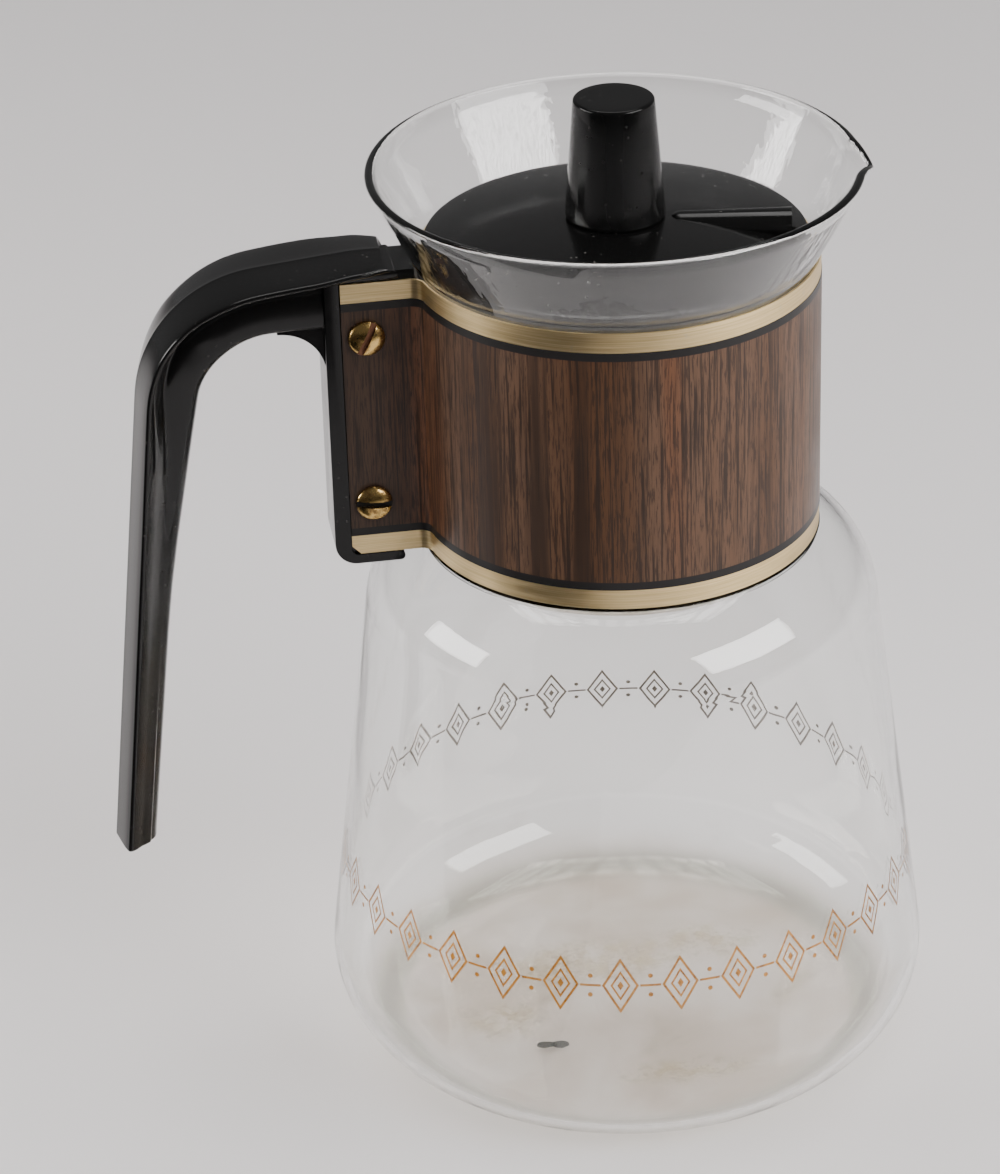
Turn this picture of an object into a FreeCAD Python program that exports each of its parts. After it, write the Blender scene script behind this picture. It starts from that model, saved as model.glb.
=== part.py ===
import FreeCAD, Part
import math
import os

import Sketcher
from FreeCAD import Placement, Rotation, Vector

# Glass coffee carafe: blown vessel, clamped neck band with handle, lift-off lid with a hooded slot.
# Millimetres, +Z up. The origin is on the vessel's axis at its base. The handle is towards -X, and
# the pouring lip near +X, turned a little towards -Y.

os.makedirs("parts", exist_ok=True)
doc = FreeCAD.newDocument("coffee_carafe")

# ------------------------------------------------------------------ driving dimensions

DIMENSIONS = {
    # glass vessel: corners of its outer outline as radius and height, with their roundings
    "heel_radius": 81.4,
    "heel_round": 25,
    "shoulder_radius": 63.35,
    "shoulder_height": 142.4,
    "shoulder_round": 25.7,
    "neck_radius": 48.9,
    "neck_foot_height": 148,
    "neck_foot_round": 2.5,
    "throat_height": 220,
    "throat_round": 7,
    "flare_height": 223,
    "flare_radius": 50.47,
    "rim_height": 243.9,
    "rim_radius": 61.4,
    "lip_reach": 63.6,
    "lip_half_angle": 12,
    "lip_flank_round": 110,
    "lip_turn": 8,
    "glass_wall": 2.2,
    # liner, band and printed foil round the neck
    "liner_bottom": 150,
    "liner_height": 68,
    "liner_gap": 0.1,
    "liner_thickness": 0.9,
    "band_bottom": 148.05,
    "band_height": 73.45,
    "band_radius": 50.3,
    "band_thickness": 0.5,
    "ear_reach": 69.2,
    "ear_half_gap": 7.4,
    "ear_bend": 3.4,
    "ear_chamfer": 2.2,
    "foil_bottom": 153.2,
    "foil_height": 63.25,
    "foil_thickness": 0.12,
    # handle: outline corners as distance from the axis and height
    "handle_neck_end": 56,
    "handle_top": 226.8,
    "arm_bend_reach": 64,
    "arm_bend_height": 227.1,
    "arm_bend_round": 60,
    "grip_corner_reach": 117,
    "grip_corner_height": 221.9,
    "grip_corner_round": 34,
    "grip_end_reach": 133.2,
    "grip_end_height": 69.5,
    "grip_inner_end_reach": 122.9,
    "grip_waist_reach": 114.3,
    "grip_waist_height": 141,
    "grip_waist_round": 380,
    "loop_corner_reach": 101.4,
    "loop_top": 208.9,
    "loop_corner_round": 19.5,
    "loop_inner_round": 10.5,
    "block_reach": 73.4,
    "block_bottom": 145.5,
    "block_corner_round": 4.5,
    "block_top": 223.8,
    "block_neck_gap": 0.45,
    "ledge_end_reach": 56,
    "cheek_gap": 0.1,
    "cheek_half_width": 8.1,
    "rib_half_width": 6,
    "flange_half_width": 14.6,
    "flange_neck_half_width": 10.2,
    "flange_end_half_width": 9.8,
    "thumb_start": 76,
    "thumb_end": 97,
    "thumb_round": 40,
    "flange_depth": 4.6,
    # clamp screws through the ears and the block
    "screw_reach": 63.3,
    "screw_lower_height": 162.3,
    "screw_upper_height": 207.2,
    "screw_radius": 2.4,
    "screw_hole_radius": 2.6,
    "screw_head_radius": 4.55,
    "screw_head_height": 2.3,
    "screw_head_round": 1.8,
    "screw_slot_width": 1.5,
    "screw_slot_depth": 1.2,
    "screw_length": 21.4,
    "washer_radius": 4.8,
    "washer_thickness": 1,
    "nut_corner_radius": 5.5,
    "nut_thickness": 3.6,
    # lid, turned a little from the lip about its axis
    "hood_turn": 13,
    "lid_radius": 47.4,
    "lid_edge_bottom": 222.5,
    "lid_crown": 230.7,
    "lid_dome_radius": 200,
    "lid_shell": 2.2,
    "lid_edge_round": 0.8,
    "skirt_radius": 43.5,
    "skirt_wall": 2.2,
    "skirt_bottom": 209,
    "bead_radius": 45,
    "bead_height": 1.8,
    "bead_bottom": 214.6,
    "ring_gap": 0.3,
    "ring_radius": 46.35,
    "ring_groove_depth": 0.9,
    "ring_height": 5.2,
    "hood_start": 16,
    "hood_end": 43,
    "hood_axis_height": 227.7,
    "hood_start_radius": 3.4,
    "hood_end_radius": 4.4,
    "hood_wall": 0.9,
    "port_start": 20,
    "port_end": 37,
    "port_half_width": 2.1,
    "knob_seat_height": 230.3,
    "knob_base_radius": 12.4,
    "knob_base_round": 1.1,
    "knob_top_radius": 9.9,
    "knob_top_round": 0.7,
    "knob_height": 30.6,
    "knob_screw_radius": 2,
    "knob_screw_length": 12,
    "knob_screw_head_radius": 3.8,
    "knob_screw_head_height": 2.2,
    "knob_washer_radius": 4.6,
    "knob_washer_thickness": 0.8,
    "knob_washer_drop": 0.1,
}

sheet = doc.addObject("Spreadsheet::Sheet", "Dims")
for row, (alias, value) in enumerate(DIMENSIONS.items(), start=1):
    sheet.set(f"A{row}", alias)
    sheet.set(f"B{row}", str(value))
    sheet.setAlias(f"B{row}", alias)
doc.recompute()

NODES = []  # every finished sub-part, in the order in which it is made


def dim(formula):
    """The value of a formula of sheet aliases, such as "band_radius - band_thickness"."""
    return float(sheet.evalExpression(bound(formula)))


def bound(formula):
    """The same formula as an expression that other objects can follow."""
    words = str(formula).split()
    return " ".join(f"Dims.{word}" if word in DIMENSIONS else word for word in words)


def bind(item, **formulas):
    """Binds properties of an object to the sheet; a double underscore stands for a dot."""
    for name, formula in formulas.items():
        item.setExpression(name.replace("__", "."), bound(formula))
    return item


def node(item, label):
    """Marks an object as a finished sub-part; its label names its file."""
    item.Label = label
    NODES.append(item)
    return item


# ------------------------------------------------------------------ sketches


def new_sketch(body, name, plane="XY_Plane", offset="0"):
    """A sketch on one of its own body's origin planes, lifted along the plane's normal."""
    sketch = body.newObject("Sketcher::SketchObject", name)
    origin_plane = [f for f in body.Origin.OriginFeatures if f.Role == plane][0]
    sketch.AttachmentSupport = [(origin_plane, "")]
    sketch.MapMode = "FlatFace"
    bind(sketch, AttachmentOffset__Base__z=offset)
    return sketch


def hold(sketch, kind, *place):
    """Adds a sketch dimension that follows a formula, which is the last of its arguments."""
    formula = place[-1]
    index = sketch.addConstraint(Sketcher.Constraint(kind, *place[:-1], dim(formula)))
    sketch.setExpression(f"Constraints[{index}]", bound(formula))


def pin(sketch, shape, point, x_formula, y_formula):
    """Fixes one point of a sketch shape at a place given by two formulas."""
    hold(sketch, "DistanceX", -1, 1, shape, point, x_formula)
    hold(sketch, "DistanceY", -1, 1, shape, point, y_formula)


def rounding(before, corner, after, radius):
    """The tangent points and the arc that round a corner, and whether the corner turns left."""
    to_before = (before - corner).normalize()
    to_after = (after - corner).normalize()
    half = to_before.getAngle(to_after) / 2
    middle = (to_before + to_after).normalize()
    centre = corner + middle * (radius / math.sin(half))
    reach = radius / math.tan(half)
    first = corner + to_before * reach
    last = corner + to_after * reach
    left = (corner - before).cross(after - corner).z > 0
    start, end = (first, last) if left else (last, first)
    angles = [math.atan2((p - centre).y, (p - centre).x) for p in (start, end)]
    circle = Part.Circle(centre, Vector(0, 0, 1), radius)
    return first, last, Part.ArcOfCircle(circle, angles[0], angles[1]), left


def outline(sketch, corners):
    """A closed outline. Each corner is (x, y), or (x, y, radius) where it is rounded."""
    places = [Vector(dim(c[0]), dim(c[1]), 0) for c in corners]
    count = len(corners)
    enters, leaves, arcs = {}, {}, {}
    for i, corner in enumerate(corners):
        enters[i] = leaves[i] = places[i]
        if len(corner) == 3:
            ends = rounding(places[i - 1], places[i], places[(i + 1) % count], dim(corner[2]))
            enters[i], leaves[i], arc, left = ends
            arcs[i] = (sketch.addGeometry(arc, False), left)
    lines = []
    for i in range(count):
        line = Part.LineSegment(leaves[i], enters[(i + 1) % count])
        lines.append(sketch.addGeometry(line, False))
    for i, corner in enumerate(corners):
        before, after = lines[i - 1], lines[i]
        if i not in arcs:
            sketch.addConstraint(Sketcher.Constraint("Coincident", before, 2, after, 1))
            pin(sketch, after, 1, corner[0], corner[1])
            continue
        arc, left = arcs[i]
        first, last = (1, 2) if left else (2, 1)
        point = sketch.addGeometry(Part.Point(places[i]), True)
        pin(sketch, point, 1, corner[0], corner[1])
        sketch.addConstraint(Sketcher.Constraint("PointOnObject", point, 1, before))
        sketch.addConstraint(Sketcher.Constraint("PointOnObject", point, 1, after))
        sketch.addConstraint(Sketcher.Constraint("Tangent", before, 2, arc, first))
        sketch.addConstraint(Sketcher.Constraint("Tangent", arc, last, after, 1))
        hold(sketch, "Radius", arc, corner[2])
    return sketch


def circle(sketch, radius, x="0", y="0"):
    """A circle at a place in a sketch."""
    middle = Vector(dim(x), dim(y), 0)
    shape = sketch.addGeometry(Part.Circle(middle, Vector(0, 0, 1), dim(radius)), False)
    pin(sketch, shape, 3, x, y)
    hold(sketch, "Radius", shape, radius)
    return sketch


def lip_outline(sketch, radius, tip, flank):
    """A circle about the axis, drawn out to a tip on +X by two flanks."""
    r, x, angle = dim(radius), dim(tip), math.radians(dim("lip_half_angle"))
    start = Vector(r * math.cos(angle), r * math.sin(angle), 0)
    end = Vector(start.x, -start.y, 0)
    whole = Part.Circle(Vector(0, 0, 0), Vector(0, 0, 1), r)
    rim = sketch.addGeometry(Part.ArcOfCircle(whole, angle, 2 * math.pi - angle), False)
    sketch.addConstraint(Sketcher.Constraint("Coincident", rim, 3, -1, 1))
    hold(sketch, "Radius", rim, radius)
    for point, sign in ((1, 1), (2, -1)):
        hold(sketch, "DistanceX", -1, 1, rim, point, f"( {radius} ) * cos( lip_half_angle * 1deg )")
        chord = start - Vector(x, 0, 0)
        half = chord.Length / 2
        inward = Vector(-chord.y, chord.x, 0).normalize() * math.sqrt(dim(flank) ** 2 - half**2)
        centre = (start + Vector(x, 0, 0)) / 2 + inward
        centre.y *= sign
        ends = [Vector(x, 0, 0), start] if sign > 0 else [end, Vector(x, 0, 0)]
        angles = [math.atan2((p - centre).y, (p - centre).x) for p in ends]
        arc = Part.ArcOfCircle(Part.Circle(centre, Vector(0, 0, 1), dim(flank)), *angles)
        side = sketch.addGeometry(arc, False)
        near, far = (1, 2) if sign > 0 else (2, 1)
        sketch.addConstraint(Sketcher.Constraint("Coincident", side, far, rim, point))
        hold(sketch, "Radius", side, flank)
        if sign > 0:
            pin(sketch, side, near, tip, "0")
            tip_owner = side
        else:
            sketch.addConstraint(Sketcher.Constraint("Coincident", side, near, tip_owner, 1))
    return sketch


# ------------------------------------------------------------------ features


def new_body(name):
    return doc.addObject("PartDesign::Body", name)


def pad(body, name, sketch, height, both_ways=False):
    """Adds the sketch's area to the body, upwards or to both sides by half."""
    feature = body.newObject("PartDesign::Pad", name)
    feature.Profile = sketch
    feature.Midplane = both_ways
    bind(feature, Length=height)
    doc.recompute()
    return feature


def cut(body, name, sketch, depth):
    """Takes the sketch's area out of the body, to both sides by half, and checks that it did."""
    before = body.Shape.Volume
    feature = body.newObject("PartDesign::Pocket", name)
    feature.Profile = sketch
    feature.Midplane = True
    bind(feature, Length=depth)
    doc.recompute()
    assert body.Shape.Volume < before - 1e-3, f"{name} cuts nothing"
    return feature


def revolve(body, name, sketch):
    """Turns the sketch's area about the sketch's own vertical axis."""
    feature = body.newObject("PartDesign::Revolution", name)
    feature.Profile = sketch
    feature.ReferenceAxis = (sketch, ["V_Axis"])
    feature.Angle = 360
    doc.recompute()
    return feature


def is_circle(edge, *radii):
    """Whether an edge is an arc or circle of one of the radii."""
    try:
        radius = edge.Curve.Radius
    except (AttributeError, TypeError):
        return False
    return min(abs(radius - wanted) for wanted in radii) < 0.01


def edges_where(feature, test):
    """The names of a feature's edges whose middle passes a test."""
    names = []
    for index, edge in enumerate(feature.Shape.Edges, start=1):
        middle = edge.valueAt((edge.FirstParameter + edge.LastParameter) / 2)
        if test(edge, middle):
            names.append(f"Edge{index}")
    assert names, f"no edge of {feature.Name} passes"
    return names


def soften(body, kind, name, names, size_name, size):
    """A PartDesign fillet or chamfer on named edges of the body's tip."""
    base = body.Tip
    feature = body.newObject(f"PartDesign::{kind}", name)
    feature.Base = (base, names)
    bind(feature, **{size_name: size})
    doc.recompute()
    return feature


def cylinder(name, radius, height, bottom="0"):
    """A Part cylinder on the vessel's axis."""
    item = doc.addObject("Part::Cylinder", name)
    return bind(item, Radius=radius, Height=height, Placement__Base__z=bottom)


def minus(name, base, tool):
    item = doc.addObject("Part::Cut", name)
    item.Base, item.Tool = base, tool
    return item


def common(name, base, tool):
    item = doc.addObject("Part::Common", name)
    item.Base, item.Tool = base, tool
    return item


def fused(name, *items):
    item = doc.addObject("Part::MultiFuse", name)
    item.Shapes = list(items)
    return item


def tube(name, outer, inner, height, bottom):
    """A ring of rectangular section on the vessel's axis."""
    outside = cylinder(f"{name}_outside", outer, height, bottom)
    inside = cylinder(f"{name}_inside", inner, height, bottom)
    return minus(name, outside, inside)


# ------------------------------------------------------------------ glass vessel and neck


def vessel_solid(name, corners, foot_radius, rim_radius, tip, flank):
    """A turned solid whose open top is drawn out, in a straight flare, to the pouring lip."""
    body = new_body(name)
    turned = outline(new_sketch(body, f"{name}_outline", "XZ_Plane"), corners)
    revolve(body, f"{name}_turned", turned)
    lower = new_sketch(body, f"{name}_flare_foot", offset="flare_height")
    lip_outline(lower, foot_radius, foot_radius, foot_radius)
    upper = new_sketch(body, f"{name}_flare_rim", offset="rim_height")
    lip_outline(upper, rim_radius, tip, flank)
    flare = body.newObject("PartDesign::AdditiveLoft", f"{name}_flare")
    flare.Profile = lower
    flare.Sections = [upper]
    flare.Ruled = True
    doc.recompute()
    return body


def make_vessel():
    """The blown vessel: one outline and the same outline one glass wall further in."""
    outside = vessel_solid("vessel_outside", [
        ("0", "0"),
        ("heel_radius", "0", "heel_round"),
        ("shoulder_radius", "shoulder_height", "shoulder_round"),
        ("neck_radius", "neck_foot_height", "neck_foot_round"),
        ("neck_radius", "throat_height", "throat_round"),
        ("flare_radius", "flare_height"),
        ("0", "flare_height"),
    ], "flare_radius", "rim_radius", "lip_reach", "lip_flank_round")
    # How far each corner moves, per millimetre of wall, when both lines at it move one millimetre.
    inside = vessel_solid("vessel_inside", [
        ("0", "glass_wall"),
        ("heel_radius - 1.135 * glass_wall", "glass_wall", "heel_round - glass_wall"),
        ("shoulder_radius - 0.917 * glass_wall", "shoulder_height - 0.716 * glass_wall",
         "shoulder_round - glass_wall"),
        ("neck_radius - glass_wall", "neck_foot_height - 0.684 * glass_wall",
         "neck_foot_round + glass_wall"),
        ("neck_radius - glass_wall", "throat_height + 0.246 * glass_wall",
         "throat_round + glass_wall"),
        ("flare_radius - 1.128 * glass_wall", "flare_height"),
        ("0", "flare_height"),
    ], "flare_radius - 1.128 * glass_wall", "rim_radius - 1.128 * glass_wall",
        "lip_reach - 1.25 * glass_wall", "lip_flank_round")
    vessel = minus("glass_vessel", outside, inside)
    bind(vessel, Placement__Rotation__Angle="-1deg * lip_turn")
    return node(vessel, "glass_vessel")


def make_liner():
    """The thin sleeve that fills the space between the glass neck and the band."""
    sleeve = tube("neck_liner", "neck_radius + liner_thickness - liner_gap",
                  "neck_radius + liner_gap", "liner_height", "liner_bottom")
    return node(sleeve, "neck_liner")


def make_wrap(name, radius, half_gap, bend, thickness, bottom, height, reach, hole):
    """A sheet that goes round the neck and turns out along both sides of the handle's block."""
    body = new_body(name)
    around = circle(new_sketch(body, f"{name}_around", offset=bottom), f"{radius} + {thickness}")
    pad(body, f"{name}_drum", around, height)
    side = f"{half_gap} + {thickness}"
    ears = new_sketch(body, f"{name}_ears", offset=bottom)
    outline(ears, [(f"-1 * ( {reach} )", f"-1 * ( {side} )"), ("0", f"-1 * ( {side} )"),
                   ("0", side), (f"-1 * ( {reach} )", side)])
    joined = pad(body, f"{name}_ear_block", ears, height)
    half = dim(side)
    root = -math.sqrt(dim(f"{radius} + {thickness}") ** 2 - half**2)

    def upright(edge, middle, x, y):
        ends = [v.Point for v in edge.Vertexes]
        level = len(ends) == 2 and (ends[0] - ends[1]).normalize().isEqual(Vector(0, 0, 1), 1e-6)
        level = level or (len(ends) == 2 and abs(ends[0].z - ends[1].z) > 5)
        return level and abs(middle.x - x) < 0.05 and abs(abs(middle.y) - y) < 0.05

    outer_bends = edges_where(joined, lambda e, m: upright(e, m, root, half))
    soften(body, "Fillet", f"{name}_outer_bend", outer_bends, "Radius", bend)
    deep = f"4 * ( {bottom} + {height} )"
    cut(body, f"{name}_bore", circle(new_sketch(body, f"{name}_inside"), radius), deep)
    gap = new_sketch(body, f"{name}_gap")
    outline(gap, [(f"-2 * ( {reach} )", f"-1 * ( {half_gap} )"), ("0", f"-1 * ( {half_gap} )"),
                  ("0", half_gap), (f"-2 * ( {reach} )", half_gap)])
    open_wrap = cut(body, f"{name}_slot", gap, deep)
    half = dim(half_gap)
    root = -math.sqrt(dim(radius) ** 2 - half**2)
    inner_bends = edges_where(open_wrap, lambda e, m: upright(e, m, root, half))
    soften(body, "Fillet", f"{name}_inner_bend", inner_bends, "Radius", f"{bend} + {thickness}")
    holes = new_sketch(body, f"{name}_holes", "XZ_Plane")
    for level in ("screw_lower_height", "screw_upper_height"):
        circle(holes, hole, "-1 * screw_reach", level)
    cut(body, f"{name}_screw_holes", holes, "4 * ear_reach")
    return body


def make_band():
    """The sheet-metal band; the lower outer corners of its ears are cut off."""
    body = make_wrap("neck_band", "band_radius - band_thickness", "ear_half_gap", "ear_bend",
                     "band_thickness", "band_bottom", "band_height", "ear_reach",
                     "screw_hole_radius")
    end, low = -dim("ear_reach"), dim("band_bottom")
    corners = edges_where(
        body.Tip,
        lambda e, m: abs(m.x - end) < 0.01 and abs(m.z - low) < 0.01,
    )
    soften(body, "Chamfer", "ear_corners", corners, "Size", "ear_chamfer")
    return node(body, "neck_band")


def make_foil():
    """The printed sheet on the band, between the two bare metal edges."""
    body = make_wrap("woodgrain_foil", "band_radius", "ear_half_gap + band_thickness",
                     "ear_bend - foil_thickness", "foil_thickness", "foil_bottom", "foil_height",
                     "ear_reach - 0.1", "screw_hole_radius")
    return node(body, "woodgrain_foil")


# ------------------------------------------------------------------ handle and its screws


def back(reach):
    """A distance from the axis towards the handle, as an x formula."""
    return f"-1 * ( {reach} )"


def flange_side(sketch, sign):
    """What is cut off one side of the flange, seen from above: it is widest under the thumb."""
    beyond = f"{sign} * ( flange_half_width + 5 )"
    outline(sketch, [
        (back("neck_radius - 5"), f"{sign} * flange_neck_half_width"),
        (back("handle_neck_end"), f"{sign} * flange_neck_half_width"),
        (back("thumb_start"), f"{sign} * flange_half_width", "thumb_round"),
        (back("thumb_end"), f"{sign} * flange_half_width", "thumb_round"),
        (back("grip_end_reach + 5"), f"{sign} * flange_end_half_width"),
        (back("grip_end_reach + 5"), beyond),
        (back("neck_radius - 5"), beyond),
    ])


def make_handle():
    """The moulded handle: a flange along the outside, a rib inside it and the clamped block."""
    body = new_body("handle")
    outside = [
        (back("handle_neck_end"), "handle_top"),
        (back("arm_bend_reach"), "arm_bend_height", "arm_bend_round"),
        (back("grip_corner_reach"), "grip_corner_height", "grip_corner_round"),
        (back("grip_end_reach"), "grip_end_height"),
    ]
    web = outside + [
        (back("grip_inner_end_reach"), "grip_end_height"),
        (back("grip_waist_reach"), "grip_waist_height", "grip_waist_round"),
        (back("loop_corner_reach"), "loop_top", "loop_corner_round"),
        (back("block_reach"), "loop_top", "loop_inner_round"),
        (back("block_reach"), "block_bottom", "block_corner_round"),
        (back("handle_neck_end"), "block_bottom"),
    ]
    rib = outline(new_sketch(body, "rib_outline", "XZ_Plane"), web)
    pad(body, "rib", rib, "2 * rib_half_width", both_ways=True)

    depth = "flange_depth"
    inside = [
        (back(f"grip_end_reach - {depth}"), "grip_end_height"),
        (back(f"grip_corner_reach - {depth}"), f"grip_corner_height - {depth}",
         f"grip_corner_round - {depth}"),
        (back("arm_bend_reach"), f"arm_bend_height - {depth}", f"arm_bend_round - {depth}"),
        (back("handle_neck_end"), f"handle_top - {depth}"),
    ]
    flange = outline(new_sketch(body, "flange_outline", "XZ_Plane"), outside + inside)
    pad(body, "flange", flange, "2 * flange_half_width", both_ways=True)
    sides = new_sketch(body, "flange_sides")
    for sign in ("1", "-1"):
        flange_side(sides, sign)
    cut(body, "flange_trim", sides, "4 * handle_top")

    core = outline(new_sketch(body, "core_outline", "XZ_Plane"), [
        (back("neck_radius"), "band_bottom"),
        (back("ear_reach"), "band_bottom"),
        (back("ear_reach"), "block_top - 1"),
        (back("neck_radius"), "block_top - 1"),
    ])
    pad(body, "core", core, "2 * ( ear_half_gap - cheek_gap )", both_ways=True)

    cheeks = outline(new_sketch(body, "cheek_outline", "XZ_Plane"), [
        (back("ledge_end_reach"), "block_bottom"),
        (back("block_reach"), "block_bottom", "block_corner_round"),
        (back("block_reach"), "block_top"),
        (back("handle_neck_end - 2"), "block_top"),
        (back("handle_neck_end - 2"), "band_bottom + band_height + cheek_gap"),
        (back("ear_reach + cheek_gap"), "band_bottom + band_height + cheek_gap"),
        (back("ear_reach + cheek_gap"), "band_bottom - cheek_gap"),
        (back("ledge_end_reach"), "band_bottom - cheek_gap"),
    ])
    pad(body, "cheeks", cheeks, "2 * cheek_half_width", both_ways=True)

    saddle = circle(new_sketch(body, "saddle_outline"), "band_radius + block_neck_gap")
    cut(body, "saddle", saddle, "4 * handle_top")
    holes = new_sketch(body, "handle_holes", "XZ_Plane")
    for level in ("screw_lower_height", "screw_upper_height"):
        circle(holes, "screw_hole_radius", back("screw_reach"), level)
    cut(body, "screw_passages", holes, "4 * ear_reach")
    return node(body, "handle")


def make_clamp_screw(side, level, turn):
    """A slotted round-head screw, its head at -Y, with the spring washer and nut behind."""
    body = new_body(f"handle_screw_{side}")
    face = "ear_half_gap + band_thickness + foil_thickness"
    profile = outline(new_sketch(body, f"screw_outline_{side}", "XZ_Plane"), [
        ("0", "-1 * screw_length"),
        ("screw_radius", "-1 * screw_length"),
        ("screw_radius", "0"),
        ("screw_head_radius", "0"),
        ("screw_head_radius", "screw_head_height", "screw_head_round"),
        ("0", "screw_head_height"),
    ])
    revolve(body, f"screw_turned_{side}", profile)
    slot = new_sketch(body, f"slot_outline_{side}", offset="screw_head_height")
    across = "2 * screw_head_radius"
    outline(slot, [
        (f"-1 * {across}", "-0.5 * screw_slot_width"),
        (across, "-0.5 * screw_slot_width"),
        (across, "0.5 * screw_slot_width"),
        (f"-1 * {across}", "0.5 * screw_slot_width"),
    ])
    cut(body, f"slot_{side}", slot, "2 * screw_slot_depth")
    body.Placement = Placement(Vector(), Rotation(Vector(1, 0, 0), 90) * Rotation(Vector(0, 0, 1), turn))
    bind(body, Placement__Base__x=back("screw_reach"), Placement__Base__y=f"-1 * ( {face} )",
         Placement__Base__z=level)
    node(body, f"handle_screw_{side}")

    washer = tube(f"handle_washer_{side}", "washer_radius", "screw_hole_radius",
                  "washer_thickness", "0")
    nut_blank = doc.addObject("Part::Prism", f"nut_blank_{side}")
    nut_blank.Polygon = 6
    bind(nut_blank, Circumradius="nut_corner_radius", Height="nut_thickness")
    nut_bore = cylinder(f"nut_bore_{side}", "screw_radius", "nut_thickness")
    nut = minus(f"handle_nut_{side}", nut_blank, nut_bore)
    for item, start in ((washer, face), (nut, f"{face} + washer_thickness")):
        item.Placement = Placement(Vector(), Rotation(Vector(1, 0, 0), -90))
        bind(item, Placement__Base__x=back("screw_reach"), Placement__Base__y=start,
             Placement__Base__z=level)
    node(washer, f"handle_washer_{side}")
    node(nut, f"handle_nut_{side}")


# ------------------------------------------------------------------ lid


def dome(name, radius):
    """A ball whose top is the lid's crown, lowered by what the radius loses."""
    ball = doc.addObject("Part::Sphere", name)
    return bind(ball, Radius=radius, Placement__Base__z="lid_crown - lid_dome_radius")


def hood_cone(name, inset, start, end):
    """A slender cone along +X; the inset makes it the hood's inside."""
    cone = doc.addObject("Part::Cone", name)
    cone.Placement = Placement(Vector(), Rotation(Vector(0, 1, 0), 90))
    bind(cone, Radius1=f"hood_start_radius - {inset}", Radius2=f"hood_end_radius - {inset}",
         Height=f"{end} - {start}", Placement__Base__x=start, Placement__Base__z="hood_axis_height")
    return cone


def lid_box(name, half_width, bottom, top):
    """A block over the length of the pouring slot."""
    item = doc.addObject("Part::Box", name)
    return bind(item, Length="port_end - port_start", Width=f"2 * {half_width}",
                Height=f"{top} - ( {bottom} )", Placement__Base__x="port_start",
                Placement__Base__y=f"-1 * {half_width}", Placement__Base__z=bottom)


def make_lid():
    """The glossy lid: shallow dome, skirt with a bead, and a hood over the pouring slot."""
    blank = common("lid_blank", dome("lid_ball", "lid_dome_radius"),
                   cylinder("lid_disc", "lid_radius", "20", "lid_edge_bottom"))
    hollow = common("lid_hollow", dome("lid_inner_ball", "lid_dome_radius - lid_shell"),
                    cylinder("lid_core", "skirt_radius - skirt_wall", "20", "lid_edge_bottom"))
    shell = minus("lid_shell_part", blank, hollow)
    skirt_height = "lid_edge_bottom + 1 - skirt_bottom"
    skirt = tube("lid_skirt", "skirt_radius", "skirt_radius - skirt_wall", skirt_height,
                 "skirt_bottom")
    bead = tube("lid_bead", "bead_radius", "skirt_radius - 0.5", "bead_height", "bead_bottom")
    nose = doc.addObject("Part::Sphere", "hood_nose")
    bind(nose, Radius="hood_start_radius", Placement__Base__x="hood_start",
         Placement__Base__z="hood_axis_height")
    hood_solid = fused("hood_solid", hood_cone("hood_outer", "0", "hood_start", "hood_end"), nose)
    hood = minus("hood_above", hood_solid, dome("hood_floor", "lid_dome_radius - lid_shell"))
    joined = fused("lid_joined", shell, skirt, bead, hood)
    channel = hood_cone("hood_inner", "hood_wall", "port_start", "hood_end + 1")
    passage = minus("hood_passage", channel, dome("passage_floor", "lid_dome_radius"))
    port = lid_box("port", "port_half_width", "lid_edge_bottom - 1", "hood_axis_height")
    port_top = common("port_top", channel, lid_box("port_limit", "hood_end_radius",
                                                   "hood_axis_height - hood_end_radius",
                                                   "hood_axis_height + hood_end_radius"))
    seat = cylinder("knob_seat", "knob_base_radius + 0.1", "5", "knob_seat_height")
    bore = cylinder("knob_screw_hole", "knob_screw_radius + 0.2", "20", "lid_edge_bottom")
    opened = minus("lid_open", joined, fused("lid_cuts", passage, port_top, seat, bore))
    doc.recompute()
    rim = [
        (i, dim("lid_edge_round"), dim("lid_edge_round"))
        for i, edge in enumerate(opened.Shape.Edges, start=1)
        if is_circle(edge, dim("lid_radius"))
    ]
    cover = doc.addObject("Part::Fillet", "lid_cover")
    cover.Base = opened
    cover.Edges = rim
    bind(cover, Placement__Rotation__Angle="-1deg * hood_turn")
    return node(cover, "lid_cover")


def make_seal_ring():
    """The soft ring round the skirt, with a groove between its two lips."""
    body = new_body("lid_seal_ring")
    inner = "skirt_radius + ring_gap"
    top = "lid_edge_bottom - ring_gap"
    section = outline(new_sketch(body, "ring_section", "XZ_Plane"), [
        (inner, f"{top} - ring_height"),
        ("ring_radius", f"{top} - ring_height"),
        ("ring_radius", f"{top} - 0.7 * ring_height"),
        ("ring_radius - ring_groove_depth", f"{top} - 0.5 * ring_height"),
        ("ring_radius", f"{top} - 0.3 * ring_height"),
        ("ring_radius", top),
        (inner, top),
    ])
    revolve(body, "ring_turned", section)
    return node(body, "lid_seal_ring")


def make_knob():
    """The tapered knob, with a blind hole for its screw."""
    body = new_body("lid_knob")
    hole_depth = "knob_screw_length + 1"
    section = outline(new_sketch(body, "knob_section", "XZ_Plane"), [
        ("knob_screw_radius", "0"),
        ("knob_base_radius", "0", "knob_base_round"),
        ("knob_top_radius", "knob_height", "knob_top_round"),
        ("0", "knob_height"),
        ("0", hole_depth),
        ("knob_screw_radius", hole_depth),
    ])
    revolve(body, "knob_turned", section)
    bind(body, Placement__Base__z="knob_seat_height")
    return node(body, "lid_knob")


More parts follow.
